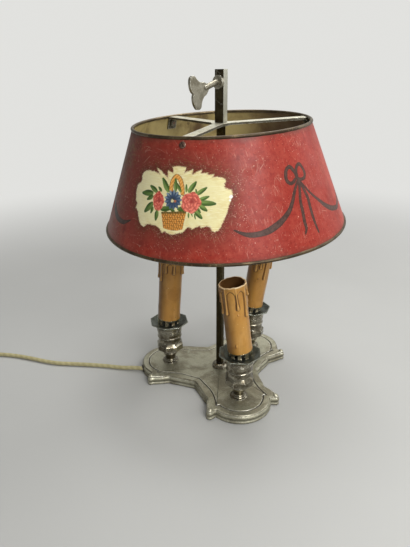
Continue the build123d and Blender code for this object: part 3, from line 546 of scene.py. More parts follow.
@shared("Mask", Scale=300.0, Size=0.25, Share=0.3)
def specks(nodes: Nodes, scale: Wire, size: Wire, share: Wire) -> tuple[Wire, ...]:
    """Small scattered specks, such as chips and dust.

    Args:
        nodes: the group's tree.
        scale: how close they are set.
        size: how large they are.
        share: how many show.

    Returns:
        The mask.
    """
    cells = nodes.node("TexVoronoi", Vector=nodes.coordinates(), Scale=scale)
    wobble = nodes.noise(scale, 3.0) * size
    near = nodes.ramp(Wire(nodes, cells.outputs["Distance"]), wobble * 0.6, wobble, 1.0, 0.0)
    lucky = nodes.add("SeparateColor", Color=Wire(nodes, cells.outputs["Color"]))
    return (near * nodes.math("LESS_THAN", lucky, share),)


@shared("Mask", Scale=60.0, Amount=1.0)
def scratches(nodes: Nodes, scale: Wire, amount: Wire) -> tuple[Wire, ...]:
    """Fine scratches that run every way, in broken lengths.

    Args:
        nodes: the group's tree.
        scale: how close they are set.
        amount: how strongly they show.

    Returns:
        The mask.
    """
    total: object = 0.0
    for turn, stretch in ((0.6, 9.0), (2.1, 7.0), (3.9, 11.0)):
        vector = nodes.stretched((1.0, stretch, 1.0), (turn, 0.7 * turn, 1.3 * turn))
        away = nodes.add("TexVoronoi", out="Distance", settings={"feature": "DISTANCE_TO_EDGE"},
                         Vector=vector, Scale=scale)
        kept = nodes.ramp(nodes.noise(55.0 + 20 * turn, 2.0), 0.55, 0.66)
        total = nodes.ramp(away, 0.0, 0.018, 1.0, 0.0) * kept | total
    return (total * amount,)


# ---------------------------------------------------------------- finishes
@dataclass(frozen=True)
class AgedMetal:
    """Brass or steel with patches, grain, grime in corners and bright worn edges, and where given, a painted
    sheen on faces turned one way and painted shade on faces turned another.
    """

    name: str
    body: Triple
    patch: Triple
    worn: Triple
    dirt: Triple
    metallic: float = 0.85
    roughness: float = 0.30
    patch_scale: float = 45.0
    edge: float = 0.0009
    edge_amount: float = 1.0
    grime: float = 0.8
    dent: float = 0.00012
    # a direction whose faces get a painted sheen, and one whose faces get painted shade, with how strong
    # that shade is
    handled: Triple | None = None
    sooted: Triple | None = None
    soot: float = 0.9

    def build(self) -> bpy.types.Material:
        """Builds the material.

        Returns:
            The material.
        """
        nodes = Surface(self.name)
        patch, grain = nodes.patches(Patch_Scale=self.patch_scale)
        wear = nodes.effect(edge_wear, Width=self.edge, Amount=self.edge_amount)
        grime = nodes.effect(corner_grime, Reach=0.004, Amount=self.grime)
        coats = [(patch, self.patch), (nodes.ramp(grain, 0.35, 0.7) * 0.35, self.dirt)]
        # painted sheen: faces turned that way are given the worn colour, as a reflection
        if self.handled:
            coats.append((nodes.facing(self.handled, 0.55, 0.9, 0.85), self.worn))
        # painted shade: faces turned that way, such as sides and undersides, darkened with the dirt colour
        if self.sooted:
            coats.append((nodes.facing(self.sooted, -0.35, 0.1, self.soot), self.dirt))
        coats += [(nodes.effect(scratches, Scale=90.0, Amount=0.5), self.worn), (wear, self.worn),
                  (grime, self.dirt)]
        shine = nodes.blend(patch, self.roughness, self.roughness + 0.14)
        shine = nodes.blend(wear, shine, self.roughness - 0.06)
        return nodes.end(
            nodes.noise(260.0, 4.0) + grain * 0.4, 0.5, self.dent, soften=0.0004,
            Base_Color=nodes.coats(self.body, *coats), Roughness=nodes.blend(grime, shine, 0.75),
            Metallic=nodes.blend(grime, self.metallic, 0.2))


@dataclass(frozen=True)
class MouldedPlastic:
    """Moulded plastic with a fine grain, dust in corners and slightly worn edges."""

    name: str
    colour: Triple
    roughness: float = 0.34
    coat: float = 0.0
    dust: Triple = (0.20, 0.17, 0.13)

    def build(self) -> bpy.types.Material:
        """Builds the material.

        Returns:
            The material.
        """
        nodes = Surface(self.name)
        patch, grain = nodes.patches(Patch_Scale=70.0, Grain_Scale=1800.0)
        pale = tuple(min(1.0, 1.5 * c + 0.02) for c in self.colour)
        colour = nodes.coats(
            self.colour, (patch * 0.3, pale),
            (nodes.effect(edge_wear, Width=0.0006, Amount=0.5), pale),
            (nodes.effect(corner_grime, Reach=0.003, Amount=0.5), self.dust))
        return nodes.end(grain, 0.25, 0.00005, soften=0.0005, Base_Color=colour, Coat_Weight=self.coat,
                         Roughness=nodes.blend(patch, self.roughness, self.roughness + 0.12))


@dataclass(frozen=True)
class AgedWax:
    """Ochre candle wax: painted shade beside its runs, inside its bore and on its sides, painted highlights
    on its raised runs, pale on its lip and here and there.
    """

    name: str = "aged_wax"
    body: Triple = (0.53, 0.26, 0.046)
    ochre: Triple = (0.38, 0.165, 0.026)
    honey: Triple = (0.68, 0.38, 0.11)
    pale: Triple = (0.80, 0.62, 0.36)
    dirt: Triple = (0.050, 0.024, 0.008)
    inside: Triple = (0.16, 0.075, 0.022)
    smoked: Triple = (0.16, 0.066, 0.007)
    burnt: Triple = (0.035, 0.012, 0.006)
    # the sides towards and away from the light; both are given painted shade
    lit: Triple = (0.743, 0.669, 0.0)
    shaded: Triple = (-0.743, -0.669, 0.0)

    def build(self) -> bpy.types.Material:
        """Builds the material. The mesh carries how proud, how high and how far inside a point is.

        Returns:
            The material.
        """
        nodes = Surface(self.name)
        patch, grain = nodes.patches(Patch_Scale=75.0, Grain_Scale=1200.0, Low=0.45, High=0.68)
        inner = nodes.attribute("inner")
        streak = nodes.noise(60.0, 4.0, 0.6, 0.0, nodes.stretched((1.6, 1.6, 0.35)))
        groove = nodes.math("MULTIPLY", nodes.attribute("groove"),
                            nodes.ramp(grain, 0.2, 0.6, 0.35, 0.95), clamp=True)
        colour = nodes.coats(
            self.body, (patch * 0.6, self.ochre),
            (nodes.ramp(streak, 0.5, 0.72, 0.0, 0.6), self.honey),
            # painted highlight: paler on the raised runs
            (nodes.ramp(nodes.attribute("proud"), 0.85, 1.5, 0.0, 0.7), self.honey),
            # painted shade in the crease beside each run
            (groove, self.burnt),
            # painted shade on the side turned from the light, and more lightly on the side towards it
            (nodes.facing(self.shaded, 0.05, 0.85, 0.78), self.smoked),
            (nodes.facing(self.lit, 0.45, 1.0, 0.35), self.smoked),
            (nodes.attribute("lip") * nodes.ramp(grain, 0.25, 0.5), self.pale),
            (nodes.effect(specks, Scale=230.0, Size=0.30, Share=0.07) * 0.8, self.dirt),
            (nodes.effect(specks, Scale=310.0, Size=0.30, Share=0.06) * 0.7, self.pale),
            (nodes.effect(corner_grime, Reach=0.0022, Amount=1.0) * 0.5, self.dirt),
            # painted shade inside the bore, darker the deeper it is
            (nodes.ramp(inner, 0.0, 0.25),
             nodes.mix(nodes.ramp(inner, 0.45, 1.0), self.inside, self.burnt)))
        return nodes.end(nodes.noise(200.0, 4.0), 0.4, 0.00025, Base_Color=colour,
                         Roughness=nodes.blend(patch, 0.30, 0.48), Subsurface_Weight=0.06,
                         Subsurface_Radius=(0.002, 0.001, 0.0005))


@dataclass(frozen=True)
class PaintedTole:
    """Aged red paint on sheet metal, with the hand-painted ornament that the mesh carries."""

    name: str = "painted_tole"
    red: Triple = (0.335, 0.030, 0.017)
    faded: Triple = (0.41, 0.058, 0.036)
    deep: Triple = (0.21, 0.014, 0.008)
    maroon: Triple = (0.20, 0.034, 0.024)
    brown: Triple = (0.115, 0.046, 0.030)
    umber: Triple = (0.070, 0.030, 0.018)
    olive: Triple = (0.24, 0.165, 0.06)
    cream: Triple = (0.88, 0.80, 0.43)
    cream_aged: Triple = (0.76, 0.62, 0.27)
    cream_pale: Triple = (0.94, 0.88, 0.60)
    blush: Triple = (0.84, 0.62, 0.36)
    ink: Triple = (0.030, 0.022, 0.016)
    ink_grey: Triple = (0.085, 0.050, 0.038)
    chip: Triple = (0.86, 0.56, 0.42)

    def brushed(self, nodes: Nodes, turn: float, stretch: float, scale: float) -> Wire:
        """Noise drawn out along the brush, over the face's own unrolled millimetres, about 0."""
        flat = nodes.add("CombineXYZ", nodes.attribute("across"), nodes.attribute("down"))
        lie = nodes.stretched((1.0, stretch, 1.0), (0.0, 0.0, turn), flat)
        return nodes.noise(scale, 4.0, 0.6, 0.0, lie) - 0.5

    def ground(self, nodes: Nodes, near: Wire) -> Wire:
        """The red ground with its clouds, stains and the umber brushing round the medallion, brown and olive
        towards the left side: partly age, partly painted shade.

        Args:
            nodes: the material's tree.
            near: the distance to the medallion's outline.

        Returns:
            The colour.
        """
        ramp = nodes.ramp
        cloud = nodes.noise(30.0, 5.0, 0.6, 0.3)
        browned = nodes.attribute("browned")
        rubbed = nodes.attribute("rubbed")
        stain = nodes.attribute("blotch") + (nodes.noise(260.0, 4.0, 0.65) - 0.5) * 0.5
        haze = ramp(nodes.noise(420.0, 5.0, 0.75), 0.46, 0.66, 0.0, 0.75) * ramp(browned, 0.05, 0.7)
        slant = self.brushed(nodes, 0.95, 7.0, 0.34)
        cross = self.brushed(nodes, -0.6, 5.0, 0.30)
        close = ramp(near, -11.0, -1.0) * ramp(near + slant * 26.0, -7.0, -2.0)
        wisps = ramp(slant, 0.085, 0.15) | ramp(cross, 0.10, 0.17)
        return nodes.coats(
            nodes.mix(ramp(nodes.noise(170.0, 6.0, 0.7), 0.40, 0.60), self.red, self.faded),
            (ramp(cloud, 0.48, 0.70, 0.0, 0.55), self.deep),
            (ramp(nodes.noise(520.0, 4.0, 0.7), 0.50, 0.64, 0.0, 0.65), self.deep),
            # painted shade: darker red towards the right of each medallion
            (ramp(nodes.attribute("across"), 48.0, 100.0, 0.0, 0.34), self.deep),
            (ramp(stain, 0.25, 0.6, 0.0, 0.8), self.deep),
            # brown and olive towards the left side, away from the light: partly age, partly painted shade
            (browned * ramp(nodes.noise(55.0, 5.0, 0.65), 0.3, 0.6, 0.45, 1.0), self.brown),
            (haze, self.olive),
            (ramp(near + cloud * 9.0, -22.0, -2.0, 0.0, 0.85) * rubbed, self.maroon),
            (close * (rubbed * 0.6), self.umber),
            (ramp(near, -15.0, -1.5, 0.0, 0.8) * wisps, self.olive))

    def marks(self, nodes: Nodes) -> Wire:
        """Chips, dust, scratches and crackle, all paler than the paint.

        Args:
            nodes: the material's tree.

        Returns:
            The mask.
        """
        chips = nodes.effect(specks, Scale=210.0, Size=0.24, Share=0.07)
        dust = nodes.effect(specks, Scale=620.0, Size=0.44, Share=0.27)
        frost = nodes.effect(specks, Scale=760.0, Size=0.60, Share=0.45)
        lines = nodes.effect(scratches, Scale=34.0, Amount=0.55)
        crackle = nodes.attribute("crazed") * 0.8 * frost
        return chips * 0.75 | dust * 0.42 | lines * 0.7 | crackle

    def medallion(self, nodes: Nodes, near: Wire) -> Wire:
        """The cream of the medallion, with brush streaks, age and a blushed edge.

        Args:
            nodes: the material's tree.
            near: the distance to the medallion's outline.

        Returns:
            The colour.
        """
        ramp = nodes.ramp
        streak = self.brushed(nodes, 0.12, 7.0, 0.16)
        thin = ramp(near, 0.2, 6.0, 0.95, 0.0) * ramp(streak, -0.12, 0.02, 1.0, 0.0)
        return nodes.coats(
            self.cream, (ramp(nodes.noise(95.0, 5.0, 0.6), 0.42, 0.72, 0.0, 0.55), self.cream_aged),
            (ramp(streak, 0.02, 0.16, 0.0, 0.8), self.cream_pale), (thin, self.cream_aged),
            (ramp(near, 0.2, 1.3, 0.45, 0.0), self.blush),
            (ramp(nodes.attribute("across"), -46.0, -10.0, 0.5, 0.0), self.cream_pale))

    def build(self) -> bpy.types.Material:
        """Builds the material.

        Returns:
            The material.
        """
        nodes = Surface(self.name)
        ramp = nodes.ramp
        near = nodes.attribute("cream")
        fine = nodes.noise(900.0, 3.0, 0.6) - 0.5
        patch, _ = nodes.patches(Patch_Scale=85.0, Low=0.48, High=0.7)
        marks = self.marks(nodes)
        edge = near + (nodes.noise(300.0, 5.0, 0.65) - 0.5) * 1.3
        cream = ramp(edge + self.brushed(nodes, 0.95, 9.0, 0.5) * 5.0, -0.22, 0.22)
        # flowers and basket on the medallion
        art = ramp(nodes.attribute("art") + fine * 0.6, -0.14, 0.14) * 0.97
        # ribbon and swags: dark at their edges, greyer and rubbed thin in their middles
        line = nodes.attribute("ink")
        ink = ramp(line + fine * 0.9, -0.3, 0.3)
        thin = ramp(line, 0.35, 1.2) * ramp(nodes.noise(330.0, 4.0, 0.65), 0.36, 0.60, 0.0, 0.8)
        # grime towards the two rims
        rim = nodes.attribute("rim") * ramp(nodes.noise(70.0, 5.0, 0.65), 0.3, 0.62, 0.25, 1.0)
        colour = nodes.coats(
            self.ground(nodes, near), (marks * 0.85, self.chip), (cream, self.medallion(nodes, near)),
            (art, nodes.attribute("art_colour", "Color")),
            (ink * 0.93, nodes.mix(thin, self.ink, self.ink_grey)), (rim * 0.8, self.brown))
        relief = cream * 0.6 + nodes.noise(420.0, 4.0) * 0.5 + ink * 0.3 - marks * 0.6
        return nodes.end(
            relief, 0.35, 0.00009, Base_Color=colour, Specular_IOR_Level=0.22, Coat_Weight=0.05,
            Coat_Roughness=0.22, Roughness=nodes.blend(marks, nodes.blend(patch, 0.42, 0.58), 0.7))


@dataclass(frozen=True)
class LacqueredInside:
    """The shade's inner face: yellow-olive lacquer, brown in patches and runs, with painted shade on the
    side turned from the light.
    """

    name: str = "lacquered_inside"
    body: Triple = (0.47, 0.37, 0.15)
    olive: Triple = (0.27, 0.195, 0.070)
    brown: Triple = (0.10, 0.052, 0.022)
    # the direction whose faces get painted shade
    sooted: Triple = (-0.743, -0.669, 0.0)

    def build(self) -> bpy.types.Material:
        """Builds the material.

        Returns:
            The material.
        """
        nodes = Surface(self.name)
        patch, _ = nodes.patches(Patch_Scale=42.0, Low=0.42, High=0.66)
        runs = nodes.noise(34.0, 5.0, 0.65, 0.0, nodes.stretched((1.0, 1.0, 0.35)))
        colour = nodes.coats(
            self.body, (patch * 0.8, self.olive), (nodes.ramp(runs, 0.50, 0.68, 0.0, 0.85), self.brown),
            (nodes.effect(specks, Scale=150.0, Size=0.5, Share=0.22) * 0.6, self.brown),
            # painted shade: brown on the side turned from the light
            (nodes.facing(self.sooted, 0.1, 0.7, 0.9), self.brown))
        return nodes.end(nodes.noise(300.0, 4.0), 0.3, 0.0001, Base_Color=colour, Metallic=0.25,
                         Roughness=nodes.blend(patch, 0.42, 0.6))


@dataclass(frozen=True)
class ClearGoldCord:
    """A smooth gold-tinted flex whose twisted cores show faintly."""

    name: str = "gold_flex"
    body: Triple = (0.46, 0.41, 0.22)
    core: Triple = (0.31, 0.265, 0.115)

    def build(self) -> bpy.types.Material:
        """Builds the material.

        Returns:
            The material.
        """
        nodes = Surface(self.name)
        wave = nodes.add("TexWave", out="Fac", settings={"bands_direction": "DIAGONAL"}, Scale=60.0,
                         Vector=nodes.coordinates(), Distortion=1.5, Detail=1.0)
        patch, _ = nodes.patches(Patch_Scale=60.0)
        colour = nodes.coats(self.body, (wave * 0.5, self.core), (patch * 0.3, self.core))
        return nodes.end(nodes.noise(500.0, 2.0), 0.2, 0.0001, Base_Color=colour, Roughness=0.28,
                         Coat_Weight=0.6, Coat_Roughness=0.12)


@dataclass(frozen=True)
class GreenFelt:
    """Short green felt under the base."""

    name: str = "green_felt"
    body: Triple = (0.045, 0.095, 0.042)
    pale: Triple = (0.085, 0.15, 0.07)

    def build(self) -> bpy.types.Material:
        """Builds the material.

        Returns:
            The material.
        """
        nodes = Surface(self.name)
        fibre = nodes.noise(2600.0, 4.0, 0.7)
        return nodes.end(fibre, 0.8, 0.0003, Sheen_Weight=0.3,
                         Base_Color=nodes.mix(nodes.ramp(fibre, 0.35, 0.65), self.body, self.pale),
                         Roughness=nodes.ramp(fibre, 0.2, 0.8, 0.85, 1.0))


DOWN = (0.0, 0.0, -1.0)
RIGHT = (1.0, 0.0, 0.0)

FINISHES = {finish.name: finish for finish in (
    # plate_brass and spider_steel get painted shade on their sides and undersides; slider_brass gets a
    # painted sheen on its right face
    AgedMetal("plate_brass", (0.54, 0.52, 0.385), (0.31, 0.285, 0.20), (0.90, 0.88, 0.76),
              (0.050, 0.042, 0.026), metallic=0.72, roughness=0.34, patch_scale=48.0, dent=0.00022,
              edge=0.0018, edge_amount=1.3, sooted=DOWN, soot=0.5),
    AgedMetal("socket_brass", (0.28, 0.255, 0.19), (0.115, 0.097, 0.066), (0.92, 0.89, 0.76),
              (0.026, 0.018, 0.010), metallic=1.0, roughness=0.19, patch_scale=90.0,
              edge_amount=1.1, grime=0.95),
    AgedMetal("pan_brass", (0.155, 0.168, 0.138), (0.080, 0.088, 0.070), (0.72, 0.75, 0.64),
              (0.018, 0.018, 0.012), metallic=0.9, roughness=0.28, patch_scale=90.0, edge=0.0015),
    AgedMetal("crown_brass", (0.34, 0.30, 0.19), (0.17, 0.14, 0.085), (0.80, 0.74, 0.54),
              (0.05, 0.038, 0.022), metallic=1.0, roughness=0.22, grime=0.4),
    AgedMetal("rod_brass", (0.060, 0.046, 0.018), (0.034, 0.025, 0.010), (0.26, 0.22, 0.13),
              (0.012, 0.009, 0.004), metallic=0.9, patch_scale=60.0, edge=0.0005, edge_amount=0.6),
    AgedMetal("slider_brass", (0.070, 0.056, 0.026), (0.040, 0.030, 0.014), (0.50, 0.49, 0.41),
              (0.022, 0.016, 0.009), metallic=0.9, roughness=0.28, patch_scale=80.0, edge=0.0007,
              handled=RIGHT),
    AgedMetal("key_brass", (0.37, 0.345, 0.27), (0.22, 0.20, 0.145), (0.80, 0.77, 0.66),
              (0.07, 0.055, 0.036), roughness=0.32, patch_scale=80.0),
    AgedMetal("spider_steel", (0.80, 0.78, 0.62), (0.52, 0.48, 0.35), (0.78, 0.76, 0.66),
              (0.040, 0.030, 0.012), metallic=0.6, roughness=0.36, patch_scale=70.0, sooted=DOWN),
    AgedMetal("rim_brass", (0.125, 0.092, 0.048), (0.055, 0.038, 0.020), (0.70, 0.50, 0.27),
              (0.022, 0.013, 0.008), metallic=0.75, roughness=0.32, patch_scale=55.0, edge=0.0005),
    AgedMetal("screw_brass", (0.21, 0.125, 0.092), (0.115, 0.064, 0.046), (0.34, 0.22, 0.16),
              (0.020, 0.010, 0.007), metallic=0.7, roughness=0.36, patch_scale=120.0, edge=0.0004),
    AgedMetal("nut_steel", (0.17, 0.155, 0.11), (0.085, 0.070, 0.045), (0.40, 0.38, 0.30),
              (0.026, 0.020, 0.012), roughness=0.40),
    AgedMetal("plain_steel", (0.50, 0.49, 0.46), (0.40, 0.37, 0.32), (0.68, 0.67, 0.62),
              (0.10, 0.08, 0.06), roughness=0.36),
    AgedMetal("worn_brass", (0.42, 0.40, 0.30), (0.15, 0.133, 0.09), (0.92, 0.90, 0.78),
              (0.10, 0.085, 0.055), metallic=0.7, patch_scale=90.0, dent=0.00022),
    AgedMetal("engraved_brass", (0.070, 0.060, 0.042), (0.038, 0.032, 0.022), (0.16, 0.145, 0.11),
              (0.018, 0.014, 0.009), metallic=0.5, roughness=0.55, edge_amount=0.0),
    AgedMetal("pin_metal", (0.72, 0.66, 0.50), (0.60, 0.52, 0.36), (0.82, 0.78, 0.64),
              (0.20, 0.16, 0.09), roughness=0.24, grime=0.3),
    MouldedPlastic("dark_plastic", (0.030, 0.022, 0.017)),
    MouldedPlastic("brown_plastic", (0.085, 0.042, 0.022), roughness=0.26, coat=0.25),
    AgedWax(), PaintedTole(), LacqueredInside(), ClearGoldCord(), GreenFelt(),
)}


@cache
def material(name: str) -> bpy.types.Material:
    """The material of that finish, built once."""
    return FINISHES[name].build()


# ---------------------------------------------------------------- camera, floor, light
@dataclass
class Studio:
    """The camera, a pale floor and soft light, mostly from the right."""

    eye: Triple = (298.757, -354.158, 321.77)
    forward: Vector = field(default_factory=lambda: Vector((-0.61863, 0.68273, -0.38880)))
    up: Vector = field(default_factory=lambda: Vector((-0.25446, 0.29408, 0.92129)))
    lens: float = 30.775
    floor_colour: Triple = (0.42, 0.42, 0.402)
    floor_reach: float = 4000.0
    # how far out the floor begins to fade and where it is gone, in metres
    floor_fade: Point = (0.34, 1.1)
    surround: Triple = (0.757, 0.757, 0.735)
    daylight: float = 0.29
    dim_side: float = 0.42
    aim: float = 150.0
    # a broad key in front, a side light and a top light: how far right, forward and up from
    # the aim, the size in millimetres, and the watts
    lamps: tuple = (("key", 370, -800, 260, 600, 7.9), ("side", 1100, 300, 700, 900, 2.6),
                    ("top", 200, 400, 1200, 900, 13.0))

    def build(self) -> None:
        """Places everything that isn't the lamp."""
        right = self.forward.cross(self.up).normalized()
        self.camera()
        self.floor()
        self.world(right)
        for name, *offsets, size, power in self.lamps:
            offset = (axis * far for axis, far in zip((right, self.forward, Vector((0, 0, 1))), offsets))
            self.light(name, sum(offset, Vector()), size, power)

    def camera(self) -> None:
        """Creates the camera and makes it the scene's."""
        data = bpy.data.cameras.new("view_camera")
        data.lens = self.lens
        data.sensor_width = 36.0
        data.sensor_fit = "AUTO"
        data.clip_start = 0.01
        camera = linked("view_camera", data)
        back = -self.forward.normalized()
        right = self.up.cross(back).normalized()
        turn = Matrix((right, back.cross(right), back)).transposed().to_4x4()
        camera.matrix_world = Matrix.Translation(Vector(self.eye) * MM) @ turn
        bpy.context.scene.camera = camera

    def seen(self, nodes: Nodes) -> Wire:
        """How much a ray is one that shows the surround: from the camera, gloss or glass."""
        camera, gloss, glass = (nodes.add("LightPath", out=f"Is {kind} Ray")
                                for kind in ("Camera", "Glossy", "Transmission"))
        return camera | gloss * 0.75 | glass

    def floor(self) -> None:
        """A wide pale floor that keeps the lamp's shadow and fades into the surround."""
        nodes = Surface("studio_floor")
        mottle = nodes.ramp(nodes.noise(3.0, 3.0), 0.3, 0.7, 0.97, 1.03)
        grey = nodes.add("CombineColor", mottle, mottle, mottle)
        nodes.feed(nodes.shader.inputs["Base Color"], nodes.mix(1.0, self.floor_colour, grey, "MULTIPLY"))
        nodes.feed(nodes.shader.inputs["Roughness"], 0.75)
        away = nodes.add("VectorMath", nodes.coordinates(), out="Value", settings={"operation": "LENGTH"})
        far = nodes.ramp(away, *self.floor_fade) * self.seen(nodes)
        glow = nodes.add("Emission", Color=self.surround, Strength=1.0)
        nodes.feed(nodes.output.inputs["Surface"],
                   nodes.add("MixShader", far, Wire(nodes, nodes.shader.outputs[0]), glow))
        side = self.floor_reach * MM
        mesh = bpy.data.meshes.new("floor")
        corners = [(-side, -side, 0), (side, -side, 0), (side, side, 0), (-side, side, 0)]
        mesh.from_pydata(corners, [], [(0, 1, 2, 3)])
        mesh.materials.append(nodes.material)
        plane = linked("floor", mesh)

    def world(self, right: Vector) -> None:
        """A pale surround for the camera and for gloss, and soft light for the rest.

        Args:
            right: the direction that is rightwards in the view.
        """
        world = bpy.data.worlds.new("studio")
        bpy.context.scene.world = world
        world.use_nodes = True
        world.node_tree.nodes.clear()
        nodes = Nodes(world.node_tree)
        # a little darker from the left, where there is no window
        side = nodes.dot(nodes.add("TexCoord", out="Generated"), tuple(right))
        even = nodes.ramp(side, -0.7, 0.6, self.dim_side, 1.0)
        direct = nodes.add("LightPath", out="Is Camera Ray")
        strength = nodes.blend(self.seen(nodes), self.daylight, 1.0) * (even | direct)
        nodes.node("OutputWorld", nodes.add("Background", Color=self.surround, Strength=strength))

    def light(self, name: str, offset: Vector, size: float, power: float) -> None:
        """One round area light, turned to the lamp's middle.

        Args:
            name: its name.
            offset: where it stands, from the aim.
            size: how wide it is, in millimetres.
            power: how strong it is, in watts.
        """
        data = bpy.data.lights.new(name, "AREA")
        data.shape = "DISK"
        data.size = size * MM
        data.energy = power
        lamp = linked(name, data)
        lamp.location = (Vector((0, 0, self.aim)) + offset) * MM
        lamp.rotation_euler = (-offset).to_track_quat("-Z", "Y").to_euler()


# ---------------------------------------------------------------- repeated and swept shapes
class Growth:
    """A Geometry Nodes tree with named inputs, and the plain meshes that it grows."""

    crease = 38.0

    def __init__(self, name: str, **inputs: str) -> None:
        """Starts a tree.

        Args:
            name: the tree's name.
            **inputs: the kind of each named input, spaces as underscores.
        """
        self.tree = bpy.data.node_groups.new(name, "GeometryNodeTree")
        for label, kind in {"Geometry": "Geometry", **inputs, "Material": "Material"}.items():
            self.tree.interface.new_socket(label.replace("_", " "), in_out="INPUT",
                                           socket_type="NodeSocket" + kind)
        self.tree.interface.new_socket("Geometry", in_out="OUTPUT", socket_type="NodeSocketGeometry")
        self.nodes = Nodes(self.tree)
        sockets = self.nodes.node("NodeGroupInput").outputs
        self.given = {socket.name: Wire(self.nodes, socket) for socket in sockets}

    def round_copies(self, geometry: Wire) -> Wire:
        """Copies of a geometry set round the Z axis, by Count, Radius and Start.

        Args:
            geometry: what is copied.

        Returns:
            The copies.
        """
        nodes, given = self.nodes, self.given
        step = nodes.math("DIVIDE", math.tau, given["Count"])
        turn = nodes.add("GeometryNodeInputIndex") * step + given["Start"]
        radius = given.get("Radius", 0.0)
        place = nodes.add("CombineXYZ", nodes.math("COSINE", turn) * radius,
                          nodes.math("SINE", turn) * radius)
        points = nodes.add("GeometryNodeMeshLine", Count=given["Count"])
        spread = nodes.add("GeometryNodeSetPosition", Geometry=points, Position=place)
        spin = nodes.add("FunctionNodeEulerToRotation", Euler=nodes.add("CombineXYZ", Z=turn))
        return nodes.add("GeometryNodeInstanceOnPoints", Points=spread, Instance=geometry, Rotation=spin)

    def finish(self, geometry: Wire) -> Growth:
        """Ends the tree: real geometry with its material."""
        real = self.nodes.add("GeometryNodeRealizeInstances", Geometry=geometry)
        dressed = self.nodes.add("GeometryNodeSetMaterial", Geometry=real, Material=self.given["Material"])
        self.nodes.node("NodeGroupOutput", dressed)
        return self

    def piece(self, name: str, finish: str, frame: Matrix, source: Mesh | None = None,
              edges: list[tuple[int, int]] | None = None, thick: list[float] | None = None,
              **values: object) -> bpy.types.Object:
        """Grows a mesh and makes it a plain piece in the lamp's frame.

        Args:
            name: the piece's name.
            finish: what it is finished with.
            frame: where it stands, in millimetres.
            source: the incoming mesh, in millimetres.
            edges: the incoming mesh's loose edges.
            thick: how thick a wire is at each incoming point.
            **values: the tree's inputs, spaces as underscores.

        Returns:
            The piece, its modifier gone.
        """
        mesh = bpy.data.meshes.new(name)
        if source:
            mesh.from_pydata((source[0] * MM).tolist(), edges or [], source[1])
        if thick:
            carry(mesh, "thick", thick)
        piece = linked(name, mesh)
        grow = piece.modifiers.new("growth", "NODES")
        grow.node_group = self.tree
        wanted = {"Material": material(finish), **{k.replace("_", " "): v for k, v in values.items()}}
        for item in self.tree.interface.items_tree:
            if item.in_out == "INPUT" and item.name in wanted:
                grow[item.identifier] = wanted[item.name]
        view = bpy.context.evaluated_depsgraph_get()
        piece.data = bpy.data.meshes.new_from_object(piece.evaluated_get(view))
        piece.modifiers.remove(grow)
        bpy.data.meshes.remove(mesh)
        smooth(piece.data, self.crease)
        piece.data.transform(Matrix.Translation(frame.translation * MM) @ frame.to_3x3().to_4x4())
        piece.data.name = name
        return piece


@cache
def repeat_round() -> Growth:
    """Copies the incoming mesh round the Z axis."""
    growth = Growth("repeat_round", Count="Int", Radius="Float", Start="Float")
    return growth.finish(growth.round_copies(growth.given["Geometry"]))


@cache
def repeat_along() -> Growth:
    """Copies the incoming mesh along a step, each a little larger than the one before.

    Returns:
        The tree.
    """
    growth = Growth("repeat_along", Count="Int", Step="Vector", Widening="Float")
    nodes, given = growth.nodes, growth.given
    points = nodes.add("GeometryNodeMeshLine", Count=given["Count"], Offset=given["Step"])
    size = nodes.add("GeometryNodeInputIndex") * given["Widening"] + 1.0
    return growth.finish(nodes.add(
        "GeometryNodeInstanceOnPoints", Points=points, Instance=given["Geometry"],
        Scale=nodes.add("CombineXYZ", size, size, 1.0)))


def round_wire(nodes: Nodes, curve: Wire, radius: Wire, resolution: int, **inputs: object) -> Wire:
    """A round wire along a curve."""
    profile = nodes.add("GeometryNodeCurvePrimitiveCircle", Resolution=resolution, Radius=radius)
    return nodes.add("GeometryNodeCurveToMesh", Curve=curve, Profile_Curve=profile, **inputs)


@cache
def rolled_wire() -> Growth:
    """A round wire bent into a ring."""
    growth = Growth("rolled_wire", Ring_Radius="Float", Wire_Radius="Float")
    nodes, given = growth.nodes, growth.given
    ring = nodes.add("GeometryNodeCurvePrimitiveCircle", Resolution=360, Radius=given["Ring Radius"])
    return growth.finish(round_wire(nodes, ring, given["Wire Radius"], 20))


@cache
def scroll_wires() -> Growth:
    """Wires that follow the incoming edges, as thick as the mesh says, copied round Z.

    Returns:
        The tree.
    """
    growth = Growth("scroll_wires", Count="Int", Start="Float", Wire_Radius="Float")
    nodes, given = growth.nodes, growth.given
    curve = nodes.add("GeometryNodeMeshToCurve", Mesh=given["Geometry"])
    thick = nodes.add("GeometryNodeInputNamedAttribute", out="Attribute",
                      settings={"data_type": "FLOAT"}, Name="thick")
    swept = round_wire(nodes, curve, given["Wire Radius"], 10, Scale=thick, Fill_Caps=True)
    return growth.finish(growth.round_copies(swept))


# ---------------------------------------------------------------- the painted ornament
def segment_distance(u: np.ndarray, v: np.ndarray, start: tuple[float, ...],
                     end: tuple[float, ...]) -> tuple[np.ndarray, np.ndarray]:
    """The distance of each point to a segment, and how far along the segment it is nearest."""
    du, dv = end[0] - start[0], end[1] - start[1]
    length = max(du * du + dv * dv, 1e-9)
    along = np.clip(((u - start[0]) * du + (v - start[1]) * dv) / length, 0.0, 1.0)
    return np.hypot(u - start[0] - along * du, v - start[1] - along * dv), along


